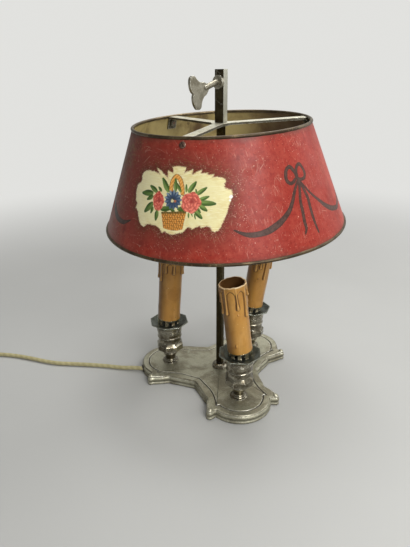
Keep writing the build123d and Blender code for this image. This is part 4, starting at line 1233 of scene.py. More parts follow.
def polygon_distance(u: np.ndarray, v: np.ndarray, corners: tuple[Point, ...]) -> np.ndarray:
    """The distance of each point to a closed outline, positive inside it.

    Args:
        u: each point's first coordinate.
        v: each point's second coordinate.
        corners: the outline.

    Returns:
        The distances.
    """
    near = np.full(u.shape, 1e9)
    inside = np.zeros(u.shape, bool)
    for index, end in enumerate(corners):
        start = corners[index - 1]
        near = np.minimum(near, segment_distance(u, v, start, end)[0])
        crosses = (start[1] > v) != (end[1] > v)
        with np.errstate(divide="ignore", invalid="ignore"):
            cut = (end[0] - start[0]) * (v - start[1]) / (end[1] - start[1]) + start[0]
        inside ^= crosses & (u < cut)
    return np.where(inside, near, -near)


def stroke_distance(u: np.ndarray, v: np.ndarray, points: tuple[Triple, ...]) -> np.ndarray:
    """The distance to a brush stroke of varying half-width, positive inside it.

    Args:
        u: each point's first coordinate.
        v: each point's second coordinate.
        points: place and half-width along the stroke.

    Returns:
        The distances.
    """
    best = np.full(u.shape, -1e9)
    for start, end in zip(points, points[1:]):
        away, along = segment_distance(u, v, start, end)
        best = np.maximum(best, start[2] + (end[2] - start[2]) * along - away)
    return best


def smooth_stroke(points: tuple[Triple, ...], steps: int = 5) -> list[Triple]:
    """A stroke's points joined by a smooth curve through them.

    Args:
        points: place and half-width along the stroke.
        steps: how many points each span gets.

    Returns:
        The closer points.
    """
    rows = np.array([points[0], *points, points[-1]])
    result = []
    for a, b, c, d in zip(rows, rows[1:], rows[2:], rows[3:]):
        for step in range(steps):
            t = step / steps
            result.append(tuple(0.5 * (2 * b + (c - a) * t + (2 * a - 5 * b + 4 * c - d) * t**2
                                       + (3 * b - a - 3 * c + d) * t**3)))
    return result + [tuple(rows[-1])]


def tint(first: object, second: object, share: np.ndarray) -> np.ndarray:
    """A mix of two paints."""
    share = np.clip(share, 0.0, 1.0)[..., None]
    return np.array(first) * (1 - share) + np.array(second) * share


@dataclass
class Ornament:
    """The medallion with its flower basket, and the ribbon bow with swags, both in millimetres
    over the shade's face: across from their own centre, and down the slope from the top edge."""

    medallion_azimuth: float = 18.3
    stroke_gain: float = 0.5
    medallion: tuple = (
        (-39.2, 32.5), (-37.8, 30.5), (-34.7, 28.7), (-30.2, 27.7), (-25.1, 27.9), (-20.6, 28.8),
        (-18.0, 29.9), (-22.0, 24.8), (-17.0, 26.8), (-13.0, 29.6), (-9.9, 32.2), (-10.4, 28.8),
        (-10.2, 26.0), (-7.7, 26.9), (-5.4, 27.6), (-5.5, 24.8), (-6.4, 22.9), (-0.2, 21.8),
        (6.1, 22.6), (5.7, 24.8), (4.7, 27.1), (8.2, 25.6), (11.9, 24.3), (11.6, 26.6),
        (11.5, 28.6), (14.9, 26.3), (19.2, 24.6), (18.9, 27.1), (21.1, 27.4), (24.7, 26.4),
        (24.0, 28.3), (27.2, 28.3), (29.9, 27.7), (28.2, 30.5), (31.9, 30.2), (35.9, 30.9),
        (38.5, 32.0), (39.6, 33.7), (38.3, 36.1), (38.9, 38.6), (41.0, 40.0), (44.7, 40.6),
        (45.6, 44.7), (44.9, 48.0), (44.8, 50.2), (43.7, 53.0), (43.2, 56.3), (42.2, 60.7),
        (40.9, 64.5), (39.5, 67.3), (38.7, 70.1), (36.7, 72.9), (34.5, 73.9), (32.1, 72.5),
        (30.1, 69.7), (27.1, 69.0), (24.9, 69.9), (22.9, 70.6), (21.6, 68.9), (18.5, 70.3),
        (15.7, 72.0), (14.4, 70.7), (11.8, 70.2), (10.2, 72.1), (7.7, 74.8), (4.3, 75.8),
        (-1.4, 77.4), (-6.2, 76.5), (-8.4, 75.1), (-11.0, 77.1), (-13.4, 74.4), (-15.8, 72.7),
        (-18.2, 71.9), (-21.2, 72.0), (-25.2, 71.6), (-28.9, 72.7), (-31.6, 75.2), (-35.3, 74.1),
        (-37.5, 71.5), (-39.5, 67.7), (-40.6, 64.2), (-43.0, 61.6), (-44.9, 61.5), (-43.0, 58.6),
        (-42.9, 56.2), (-45.4, 55.1), (-45.1, 52.3), (-45.7, 48.8), (-45.3, 45.1), (-44.3, 41.4),
        (-40.5, 39.0), (-38.9, 36.3), (-39.5, 34.0),
    )
    # each leaf from its stem to its tip, with half its width and how pale it is
    leaves: tuple = (
        (-8.6, 42.2, -14.0, 33.7, 2.3, 0.5), (-20.0, 43.9, -26.4, 40.6, 2.0, 0.3),
        (-25.0, 45.7, -35.3, 47.1, 2.5, 0.1), (-24.3, 48.5, -29.2, 51.3, 1.7, 0.1),
        (-24.0, 54.4, -31.1, 61.4, 2.5, 0.3), (-22.8, 57.7, -24.4, 61.5, 1.3, 0.1),
        (-17.9, 60.0, -18.7, 66.3, 2.0, 0.4), (-15.3, 42.8, -17.7, 40.7, 1.3, 0.0),
        (-1.6, 41.6, -2.4, 33.1, 1.5, 0.5), (3.0, 41.9, -1.1, 35.9, 1.3, 0.4),
        (7.9, 41.9, 7.5, 37.2, 1.0, 0.7), (10.3, 41.6, 14.8, 35.0, 2.0, 0.6),
        (16.8, 43.1, 15.9, 40.3, 0.8, 0.5), (17.4, 43.6, 23.6, 39.1, 1.7, 0.6),
        (19.6, 48.1, 26.0, 45.8, 1.5, 0.7), (20.7, 50.3, 31.7, 51.2, 2.2, 0.5),
        (20.9, 53.1, 25.6, 56.2, 1.7, 0.6), (17.3, 57.7, 22.1, 62.1, 1.8, 0.5),
        (18.8, 54.9, 20.8, 57.6, 1.0, 0.3), (11.4, 59.1, 11.7, 61.9, 0.7, 0.5),
        (13.8, 58.4, 14.6, 60.7, 0.6, 0.5), (16.5, 59.5, 17.5, 62.8, 0.7, 0.6),
        (-13.7, 57.7, -5.5, 56.3, 2.1, 0.0), (-5.5, 56.3, -2.0, 57.7, 1.3, 0.1),
        (2.4, 56.2, 9.3, 55.8, 2.0, 0.0),
    )
    handle: tuple = ((-6.0, 41.4, 1.0), (-5.6, 36.2, 1.0), (-4.1, 32.4, 1.0), (-1.7, 30.2, 0.9),
                     (1.0, 31.8, 1.0), (2.9, 35.1, 0.9), (4.1, 39.0, 0.9), (4.9, 43.5, 0.8))
    basket: tuple = ((-13.7, 60.0), (9.5, 57.4), (7.4, 72.3), (3.0, 73.6), (-1.1, 74.0),
                     (-6.0, 73.8), (-10.4, 72.9))
    strokes: tuple = (
        ((-1.6, 32.6, 0.8), (-3.5, 29.8, 1.0), (-6.0, 27.7, 1.0), (-9.7, 29.5, 1.1),
         (-11.6, 33.2, 1.2), (-12.1, 37.9, 1.2), (-9.2, 41.2, 1.1), (-5.4, 40.5, 1.0),
         (-3.0, 38.5, 0.7)),
        ((-5.4, 28.5, 0.8), (-1.7, 32.9, 1.2), (-0.4, 38.0, 1.2), (1.3, 41.8, 1.2)),
        ((0.0, 36.7, 0.8), (0.4, 31.9, 0.9), (2.8, 28.2, 0.9), (6.1, 27.6, 1.0), (8.6, 31.3, 0.9),
         (9.9, 35.8, 1.0), (7.8, 39.6, 0.9), (2.9, 40.0, 0.9), (0.4, 38.5, 0.8)),
        ((0.8, 41.7, 0.9), (-1.0, 49.0, 1.0), (-3.0, 57.7, 1.1), (-3.1, 66.1, 1.2),
         (-3.8, 74.5, 1.3), (-3.4, 80.3, 1.0), (-6.1, 85.0, 0.4)),
        ((1.9, 43.0, 0.7), (4.6, 50.2, 0.9), (6.6, 57.0, 1.2), (6.8, 64.1, 1.1), (7.3, 72.1, 1.1),
         (8.5, 79.7, 0.9), (10.4, 87.8, 0.4)),
        ((3.0, 42.8, 0.4), (8.1, 49.5, 0.5), (13.8, 55.8, 0.6), (21.5, 62.4, 1.0),
         (29.2, 68.4, 1.6), (39.1, 73.9, 1.9), (47.5, 76.4, 1.7), (56.0, 78.2, 1.6),
         (62.0, 78.9, 1.5)),
        ((-0.8, 40.7, 0.5), (-6.1, 47.3, 0.9), (-11.4, 56.0, 1.2), (-16.7, 62.6, 1.5),
         (-24.9, 68.7, 1.9), (-32.9, 72.8, 2.3), (-40.9, 75.7, 2.1), (-49.7, 76.9, 1.8),
         (-57.1, 76.5, 1.6), (-62.6, 74.5, 0.9), (-67.2, 72.0, 0.2)),
    )
    # centre, radii, how pale, how far drawn in above and below
    roses: tuple = (((-17.6, 51.6), (5.7, 8.0), 0.10, 0.35), ((12.6, 50.6), (8.2, 8.3), 0.34, 0.0))
    # the daisy's eye and bud, and two chips in the cream: centre, radius, colour
    spots: tuple = (
        ((-3.9, 50.1), 1.35, (0.74, 0.68, 0.40)), ((-1.3, 50.2), 1.05, (0.50, 0.15, 0.06)),
        ((-6.2, 44.4), 0.7, (0.42, 0.45, 0.42)), ((44.6, 46.2), 1.5, (0.95, 0.93, 0.88)),
        ((44.0, 49.0), 0.9, (0.95, 0.93, 0.88)),
    )
    leaf_dark: Triple = (0.012, 0.040, 0.008)
    leaf_green: Triple = (0.038, 0.115, 0.014)
    leaf_pale: Triple = (0.26, 0.40, 0.10)
    wicker: Triple = (0.62, 0.20, 0.016)
    wicker_pale: Triple = (0.92, 0.50, 0.13)
    wicker_dark: Triple = (0.13, 0.046, 0.008)
    petal_blue: Triple = (0.020, 0.055, 0.130)
    petal_sky: Triple = (0.24, 0.33, 0.42)
    night: Triple = (0.012, 0.018, 0.030)
    rose_red: Triple = (0.58, 0.034, 0.028)
    rose_pale: Triple = (0.92, 0.28, 0.20)
    rose_deep: Triple = (0.30, 0.010, 0.022)

    def medallion_field(self, u: np.ndarray, v: np.ndarray) -> np.ndarray:
        """The distance to the medallion's brushed outline, positive inside it."""
        return polygon_distance(u, v, self.medallion)

    def ink_field(self, u: np.ndarray, v: np.ndarray) -> np.ndarray:
        """The distance to the bow's strokes, positive inside them."""
        strokes = [stroke_distance(u, v, smooth_stroke(s)) for s in self.strokes]
        return np.max(strokes, axis=0) + self.stroke_gain

    def art_fields(self, u: np.ndarray, v: np.ndarray) -> tuple[np.ndarray, np.ndarray]:
        """The flowers, leaves and basket.

        Args:
            u: across from the medallion's centre.
            v: down the slope.

        Returns:
            The distance to the painted shapes, positive inside them, and their colours.
        """
        rope = stroke_distance(u, v, smooth_stroke(self.handle))
        twist = 0.55 + 0.5 * np.sin(2.1 * (u + 0.9 * v))
        shapes = [(rope + 0.95, self.wicker_dark),
                  (rope + 0.55, tint(self.wicker, self.wicker_pale, twist))]
        shapes += [self.leaf(u, v, *leaf) for leaf in self.leaves]
        shapes.append(self.wicker_basket(u, v))
        shapes += [self.rose(u, v, *rose) for rose in self.roses]
        shapes.append(self.daisy(u, v))
        shapes += [(size - np.hypot(u - x, v - y), spot) for (x, y), size, spot in self.spots]
        near = np.full(u.shape, -1e3)
        colour = np.zeros((*u.shape, 3)) + self.leaf_green
        for reach, paint in shapes:
            over = reach > np.minimum(near, 0.0)
            colour[over] = np.broadcast_to(paint, colour.shape)[over]
            near = np.maximum(near, reach)
        return near, colour

    def leaf(self, u: np.ndarray, v: np.ndarray, x: float, y: float, tip_x: float, tip_y: float,
             half: float, pale: float) -> tuple[np.ndarray, np.ndarray]:
        """One leaf in two strokes of the brush, dark with a lit side and a fine vein.

        Args:
            u: across, in millimetres.
            v: down the slope, in millimetres.
            x: the stem end, across.
            y: the stem end, down.
            tip_x: the tip, across.
            tip_y: the tip, down.
            half: half the leaf's width.
            pale: how pale it is, 0 to 1.

        Returns:
            The distance to its outline, positive inside it, and its colours.
        """
        length = math.hypot(tip_x - x, tip_y - y)
        dx, dy = (tip_x - x) / length, (tip_y - y) / length
        away, along = segment_distance(u, v, (x, y), (tip_x + 0.8 * dx, tip_y + 0.8 * dy))
        belly = 1.04 * half * np.sin(np.pi * np.clip(0.16 + 0.74 * along**0.8, 0, 1)) ** 0.7
        side = ((u - x) * dy - (v - y) * dx) / half
        streak = 0.5 + 0.5 * np.sin(4.2 * side + 3.0 * along + x)
        green = tint(self.leaf_dark, self.leaf_green, 0.2 + streak)
        light = np.clip(0.75 * side + 0.35 + 0.5 * pale - 0.6 * along, 0.0, 1.0) * (0.35 + 0.6 * pale)
        vein = np.exp(-((side - 0.12) / 0.16) ** 2) * (0.25 + 0.5 * pale)
        light = np.clip(light + vein * np.clip(1.1 - along, 0, 1), 0, 0.9)
        return belly - away, tint(green, self.leaf_pale, light)

    def wicker_basket(self, u: np.ndarray, v: np.ndarray) -> tuple[np.ndarray, np.ndarray]:
        """The wicker basket: rows of pale weave between dark gaps, shadowed by the flowers.

        Args:
            u: across, in millimetres.
            v: down the slope, in millimetres.

        Returns:
            The distance to its outline, positive inside it, and its colours.
        """
        row = (v - 58.0 + 0.09 * u) / 1.72
        stake = (u + 2.0) / (2.5 * (1 - 0.016 * (v - 58.0)))
        strand = np.cos(np.pi * (row - np.floor(row) - 0.5)) ** 0.6
        weave = strand * (0.5 + 0.5 * np.cos(2 * np.pi * (stake + 0.5 * (np.floor(row) % 2))))
        post = np.clip(np.cos(2 * np.pi * (stake + 0.25)) * 2.0 - 0.9, 0, 1) * 0.8
        dark = np.clip(np.maximum(np.clip(1.15 - strand * 1.7, 0, 1), post), 0.0, 0.92)
        paint = tint(self.wicker, self.wicker_pale, weave * 1.5 - 0.35)
        shadow = np.clip((60.9 - v - 0.1 * u) / 1.6, 0, 0.75)
        return (polygon_distance(u, v, self.basket),
                tint(tint(paint, self.wicker_dark, dark), self.leaf_dark, shadow))

    def rose(self, u: np.ndarray, v: np.ndarray, centre: Point, radii: Point, pale: float,
             pinch: float) -> tuple[np.ndarray, np.ndarray]:
        """A rose: a dark heart with petals wound about it in comma strokes.

        Args:
            u: across, in millimetres.
            v: down the slope, in millimetres.
            centre: its middle.
            radii: how far it reaches across and down.
            pale: how pale it is, 0 to 1.
            pinch: how far it is drawn in above and below.

        Returns:
            The distance to its outline, positive inside it, and its colours.
        """
        y = (v - centre[1]) / radii[1]
        x = (u - centre[0]) / (radii[0] * (1 - pinch * np.abs(y) ** 3 * 0.6))
        radius, angle = np.hypot(x, y), np.arctan2(y, x)
        edge = 1.0 + 0.055 * np.cos(5 * angle + centre[0]) + 0.03 * np.cos(9 * angle) - radius
        whorl = radius * 3.1 + 0.22 * np.sin(3 * angle + centre[0]) + 0.12 * np.sin(7 * angle)
        ring = np.floor(whorl)
        across = (angle / (2 * np.pi) + 0.37 * ring) * (4 + 2 * ring)
        beside = 2 * np.abs(across - np.floor(across) - 0.5)
        tip = np.clip((whorl - ring - 0.45) * 2.4, 0, 1)
        lit = 0.10 + 0.8 * pale + 0.85 * tip * (1 - beside**2) + 0.15 * y
        fold = np.maximum(np.clip(1 - (whorl - ring) * 4.5, 0, 1), np.clip(beside * 5 - 4, 0, 1))
        paint = tint(tint(self.rose_red, self.rose_pale, lit), self.rose_deep, 0.75 * fold)
        heart = np.clip(1.15 - 2.8 * np.hypot(x - 0.12, (y + 0.16) * 1.1), 0.0, 0.8)
        return edge * min(radii), tint(paint, self.rose_deep, heart)

    def daisy(self, u: np.ndarray, v: np.ndarray) -> tuple[np.ndarray, np.ndarray]:
        """The blue flower: narrow petals with pale streaks.

        Args:
            u: across, in millimetres.
            v: down the slope, in millimetres.

        Returns:
            The distance to its outline, positive inside it, and its colours.
        """
        x, y = (u + 3.4) / 8.0, (v - 49.2) / 7.9
        radius, angle = np.hypot(x, y), np.arctan2(y, x)
        petals = np.cos(13 * angle + 0.6)
        streak = np.clip(petals * 1.4, 0, 1) * np.clip(radius * 2.4 - 1.0, 0, 1)
        sunny = np.clip(0.85 - 0.9 * y - 0.2 * x, 0.3, 1.4)
        paint = tint(self.petal_blue, self.petal_sky, streak * sunny)
        dark = np.clip(1.25 - 3.0 * radius, 0.0, 0.9)
        return (0.92 + 0.11 * petals - radius) * 7.0, tint(paint, self.night, dark)


@dataclass
class Shade:
    """The painted conical shade with its rolled rims and screws: two medallions, each between
    two mirrored bows."""

    top_radius: float = 83.9
    bottom_radius: float = 119.5
    height: float = 93.9
    sheet: float = 0.6
    tilt: float = 3.64
    hub_height: float = 281.3
    rim_radius: float = 1.5
    arm_azimuth: float = 19.15
    repeats: int = 2
    bow_offset: float = 61.2
    medallion_half: float = 26.0
    medallion_columns: int = 172
    plain_columns: int = 210
    rows: tuple = ((0.0, 4), (19.0, 15), (75.0, 90), (93.9, 12))
    screw_drop: float = 5.0
    screw_head: Point = (2.8, 1.4)
    # half the width of a screw's slot, and how far it is turned
    screw_slot: Point = (0.55, 35.0)
    # azimuth, drop, radius across and down, strength
    stains: tuple = (
        (6.8, 14.3, 4.5, 4.0, 1.0), (48.4, 15.0, 2.2, 3.5, 0.7), (-14.0, 9.0, 7.0, 6.0, 0.7),
        (-4.0, 20.0, 6.0, 5.0, 0.5), (93.5, 8.0, 2.0, 7.0, 0.6), (2.0, 84.0, 5.0, 4.0, 0.6),
        (-12.0, 78.0, 5.0, 6.0, 0.6), (62.0, 40.0, 2.5, 2.0, 0.4), (31.0, 88.0, 4.0, 2.5, 0.4),
        (150.0, 30.0, 6.0, 5.0, 0.6), (231.0, 70.0, 6.0, 5.0, 0.6), (282.0, 18.0, 6.0, 5.0, 0.6),
    )
    ornament: Ornament = field(default_factory=Ornament)

    @property
    def slope(self) -> float:
        """How much the radius grows for each millimetre of drop."""
        return (self.bottom_radius - self.top_radius) / self.height

    @property
    def frame(self) -> Matrix:
        """The shade's own tilted frame, its origin at the hub."""
        return raised(self.hub_height) @ turned(self.tilt, "X")

    def azimuths(self) -> np.ndarray:
        """The columns' azimuths, closer together over the medallions.

        Returns:
            The azimuths, in degrees.
        """
        step = 360.0 / self.repeats
        values = []
        for repeat in range(self.repeats):
            start = self.ornament.medallion_azimuth + step * repeat - self.medallion_half
            middle = start + 2 * self.medallion_half
            values.append(np.linspace(start, middle, self.medallion_columns, endpoint=False))
            values.append(np.linspace(middle, start + step, self.plain_columns, endpoint=False))
        return np.concatenate(values)

    def drops(self) -> np.ndarray:
        """The rows' drops below the top edge, closer together over the medallions."""
        return np.concatenate([[0.0]] + [np.linspace(start, end, count + 1)[1:] for (start, _), (end, count)
                                         in zip(self.rows, self.rows[1:])])

    def grid(self, azimuths: np.ndarray, drops: np.ndarray, inwards: float) -> np.ndarray:
        """Points on the cone, moved inwards along its normal."""
        turn, drop = np.meshgrid(np.radians(azimuths), drops)
        radius = self.top_radius + self.slope * drop - inwards * math.hypot(1.0, self.slope)
        return np.stack([radius * np.sin(turn), -radius * np.cos(turn), -drop], axis=-1).reshape(-1, 3)

    def shell(self) -> None:
        """The sheet: painted outside, lacquered inside, with the ornament on its mesh."""
        azimuths, drops = self.azimuths(), self.drops()
        inner_drops = np.linspace(0.0, self.height, 7)[::-1]
        rows = np.concatenate([self.grid(azimuths, drops, 0.0),
                               self.grid(azimuths, inner_drops, self.sheet)])
        columns = len(azimuths)
        faces = ring_faces(len(drops) + len(inner_drops), columns)
        piece = make_piece("painted_shade", (placed(rows, self.frame), faces),
                           ("painted_tole", "lacquered_inside"), crease=60.0)
        slots = np.array(faces).min(axis=1) // columns >= len(drops) - 1
        piece.data.polygons.foreach_set("material_index", slots.astype(np.int32))
        self.write_fields(piece.data, azimuths, drops)
        settle(piece, Body.SHADE.value, "shade_shell", slot="red_paint")

    def write_fields(self, mesh: bpy.types.Mesh, azimuths: np.ndarray, drops: np.ndarray) -> None:
        """Writes the ornament on the outer face's vertices.

        Args:
            mesh: the shade's.
            azimuths: each column's azimuth.
            drops: each outer row's drop.
        """
        turn, drop = np.meshgrid(azimuths, drops)
        half = 180.0 / self.repeats
        radius = self.top_radius + self.slope * drop
        v = drop * math.hypot(1.0, self.slope)
        away = (turn - self.ornament.medallion_azimuth + half) % (2 * half) - half
        u = np.radians(away) * radius
        bow = np.radians(np.abs(away) - self.bow_offset) * radius
        art, paint = self.ornament.art_fields(u, v)
        near = self.ornament.medallion_field(u, v)
        stain = np.zeros(turn.shape)
        for azimuth, down, wide, tall, strength in self.stains:
            across = np.radians((turn - azimuth + 180) % 360 - 180) * radius
            spot = np.exp(-(across / wide) ** 2 - ((drop - down) / tall) ** 2)
            stain = np.maximum(stain, strength * spot)
        # the left side, away from the light, is brown: partly age, partly painted shade
        leftwards = (turn + 42.0 + 180) % 360 - 180
        browned = 0.85 * np.exp(-(leftwards / 36.0) ** 2) * np.clip(1.15 - drop / 150.0, 0, 1)
        crazed = np.exp(-((u - 52.0 - 3 * np.sin(v / 9.0)) / 6.5) ** 2)
        crazed *= np.clip((v - 22.0) / 14.0, 0, 1) * np.clip((84.0 - v) / 16.0, 0, 1)
        values = {
            "cream": near,
            "art": np.clip(art, -5, 5),
            "ink": np.clip(self.ornament.ink_field(bow, v - 1.0), -5, 5),
            "rim": np.clip(np.maximum(1 - drop / 6.0, 1 - (self.height - drop) / 5.0), 0, 1),
            "rubbed": (0.95 - 0.3 * np.clip((u - 8.0) / 30.0, 0, 1)
                       - 0.5 * np.clip((u - 50.0) / 8.0, 0, 1)),
            "browned": browned,
            "crazed": np.maximum(crazed, 0.35 * np.exp(-((near + 4.0) / 4.0) ** 2)),
            "blotch": stain,
            "across": u,
            "down": v,
        }
        inner = len(mesh.vertices) - u.size
        for name, value in values.items():
            carry(mesh, name, np.concatenate([value.ravel(), np.full(inner, -50.0)]))
        rgba = np.ones((len(mesh.vertices), 4), np.float32)
        rgba[:u.size, :3] = paint.reshape(-1, 3)
        layer = mesh.attributes.new("art_colour", "FLOAT_COLOR", "POINT")
        layer.data.foreach_set("color", rgba.ravel())

    def rims(self) -> None:
        """The two rolled edges, round wires with the sheet let in."""
        sheet = self.sheet * math.hypot(1.0, self.slope)
        for side, edge, height in (("top", self.top_radius, 0.0),
                                   ("bottom", self.bottom_radius, -self.height)):
            piece = rolled_wire().piece(
                side + "_bead", "rim_brass", self.frame @ raised(height),
                Ring_Radius=(edge - sheet / 2) * MM, Wire_Radius=self.rim_radius * MM)
            settle(piece, Body.SHADE.value, side + "_rim", slot="dark_brass")

    def screws(self) -> None:
        """Three slotted screws whose domed heads stand on the painted face."""
        radius, rise = self.screw_head
        gap, turn = self.screw_slot
        levels = ((radius, 0.45), (radius, 0.7), (0.93 * radius, 0.95), (0.8 * radius, 1.15),
                  (0.55 * radius, 0.93 * rise), (0.3 * radius, rise))
        disc = lathe(((1.5, -5.3, 0), (1.5, 0, 0), (radius, 0, 0), (radius, 0.45, 0)), 32, closed=False)
        rows, faces = join_parts(disc, *(half_dome(levels, gap, side) for side in (1, -1)))
        lean = Matrix.Rotation(math.pi / 2 - math.atan(self.slope), 4, "Y")
        rows = placed(rows, raised(-self.screw_drop) @ lean @ turned(turn, "Z"))
        piece = repeat_round().piece(
            "shade_screw_heads", "screw_brass", self.frame, (rows, faces), Count=3,
            Radius=(self.top_radius + self.slope * self.screw_drop) * MM,
            Start=math.radians(self.arm_azimuth - 90))
        settle(piece, Body.SHADE.value, "shade_screws", slot="screw_brass")

    def build(self) -> None:
        """Makes the shade's own pieces."""
        self.shell()
        self.rims()
        self.screws()


# ---------------------------------------------------------------- candles
@dataclass(frozen=True)
class Drip:
    """One run of wax: its angle, how far it hangs, its half-width and its end's half-width."""

    angle: float
    length: float
    width: float = 1.1
    end: float = 1.6
    lean: float = 0.0


@dataclass
class CandleSleeve:
    """A resin candle sleeve: a tube with cast wax runs below an uneven lip."""

    name: str
    drips: tuple[Drip, ...]
    pimples: tuple[Triple, ...]
    seed: int
    radius: float = 13.0
    bore: float = 11.75
    length: float = 73.8
    columns: int = 340
    fine_depth: float = 39.0
    fine_rows: int = 104
    plain_rows: int = 26
    skirt: float = 3.4
    # how far the bare tube is under its nominal radius, and how deep the line beside a run is
    inset: float = 0.45
    groove: float = 0.30
    # how far down the uneven end reaches, and its smoothed and paled edges
    uneven: float = 6.0
    rounded: float = 0.9
    lip: Point = (1.0, 0.7)
    # the rings of the bore, as shares of the length
    inner_rows: tuple = (1.0, 0.94, 0.82, 0.6, 0.3, 0.0)

    def wave(self, angle: np.ndarray, orders: tuple[int, ...], scale: float) -> np.ndarray:
        """A closed wavy line round the sleeve.

        Args:
            angle: where round the sleeve, in radians.
            orders: how many waves go round, of each.
            scale: how high the waves are.

        Returns:
            The line's height.
        """
        rng = np.random.default_rng(self.seed)
        total = np.zeros(angle.shape)
        for order in orders:
            total += rng.uniform(0.4, 1.0) * np.sin(order * angle + rng.uniform(0, 2 * np.pi))
        return scale * total / len(orders)

    def beside(self, turn: np.ndarray, angle: float) -> np.ndarray:
        """How far round the sleeve a point is from an angle, in millimetres."""
        return ((turn - math.radians(angle) + np.pi) % (2 * np.pi) - np.pi) * self.radius

    def near_end(self, height: np.ndarray, reach: float, blend: float) -> np.ndarray:
        """How near the sleeve's end a point is, from 0 at reach below it to 1."""
        return np.clip((height - (self.length - reach)) / blend, 0, 1)

    def wax(self, turn: np.ndarray, height: np.ndarray) -> tuple[np.ndarray, np.ndarray]:
        """How far the runs stand proud of the tube, and how near a point is to their edge.

        Args:
            turn: each point's angle, in radians.
            height: each point's height up the sleeve, in millimetres.

        Returns:
            The height of the wax over the tube, and a mask that is 1 just outside its edge.
        """
        depth = self.length - height
        reach, proud = np.zeros(turn.shape), np.zeros(turn.shape)
        near = np.full(turn.shape, -np.inf)
        for drip in self.drips:
            side = self.beside(turn, drip.angle)
            reach = np.maximum(reach, 5.0 * np.exp(-(np.abs(side) / (1.6 + drip.width)) ** 1.6))
            away, along = segment_distance(side, depth, (0.0, 0.0), (drip.lean, drip.length - drip.end))
            half = drip.width * (1.2 - 0.3 * np.minimum(1, along * 3) + 0.08 * np.sin(9 * along))
            half = half + (drip.end - drip.width) * np.clip(along * 4 - 3, 0, 1)
            rise = 1.35 + 0.55 * np.clip(along * 5 - 4, 0, 1)
            proud = np.maximum(proud, rise * np.sqrt(np.clip(1 - (away / half) ** 2, 0, 1)))
            near = np.maximum(near, half - away)
        # the skirt under the lip, drawn down where a run leaves it
        below = self.skirt + self.wave(turn, (2, 3, 5), 0.9) + reach - depth
        proud = np.maximum(proud, 0.95 * np.clip(below / 1.3 + 0.15, 0, 1) ** 0.5)
        near = np.maximum(near, below)
        for angle, down, size in self.pimples:
            away = np.hypot(self.beside(turn, angle), depth - down)
            proud = np.maximum(proud, 0.8 * size * np.sqrt(np.clip(1 - (away / size) ** 2, 0, 1)))
        # the second mask marks the crease beside each run, cut as a shallow groove and given painted shade
        return proud, np.exp(-((near + 0.34) / 0.48) ** 2)

    def build(self) -> None:
        """Makes the sleeve and lets it ride on its own body."""
        angle = np.linspace(0, 2 * np.pi, self.columns, endpoint=False)
        coarse = self.length - self.fine_depth
        heights = np.concatenate([np.linspace(0, coarse, self.plain_rows, endpoint=False),
                                  np.linspace(coarse, self.length, self.fine_rows)])
        turn, height = np.meshgrid(angle, heights)
        proud, groove = self.wax(turn, height)
        body = self.radius + self.wave(turn + 0.02 * height, (3, 4, 7), 0.12)
        body = body + 0.08 * np.sin(0.23 * height + 2 * np.sin(turn))
        outer_radius = body - self.inset + proud - self.groove * groove
        outer_radius += self.inset * np.clip(1.5 - height / 3.0, 0, 1) * 0.4
        outer_radius -= self.inset * self.near_end(height, self.rounded, self.rounded)
        inner_turn, inner_height = np.meshgrid(angle, np.array(self.inner_rows) * self.length)
        radius = np.concatenate([outer_radius, np.full(inner_height.shape, self.bore)])
        turns, rise = np.concatenate([turn, inner_turn]), np.concatenate([height, inner_height])
        # only the sleeve's end is uneven
        top = self.wave(angle, (1, 2, 3), 1.2) + self.wave(angle, (7, 11, 16), 0.5)
        rise = rise + self.near_end(rise, self.uneven, self.uneven) * top
        rows = np.stack([radius * np.cos(turns), radius * np.sin(turns), rise], axis=-1)
        place = leaning_frame(self.name) @ raised(SEAT_DISC)
        piece = make_piece("wax_candle_" + self.name,
                           (placed(rows.reshape(-1, 3), place), ring_faces(*turns.shape)),
                           ("aged_wax",), crease=70.0)
        lip = self.near_end(height, *self.lip)
        # how deep inside the bore a point is, for the painted shade there
        depth = np.clip((self.length - inner_height) / 34.0, 0.0, 0.75) + 0.25
        for label, outside, inside in (("proud", proud, 0.0), ("groove", groove, 0.0),
                                       ("lip", lip, 0.0), ("inner", 0.0 * turn, depth)):
            rest = np.broadcast_to(inside, inner_turn.shape)
            carry(piece.data, label, np.concatenate([outside, rest]))
        settle(piece, "sleeve_" + self.name, "candle_sleeve_" + self.name, slot="candle_wax")


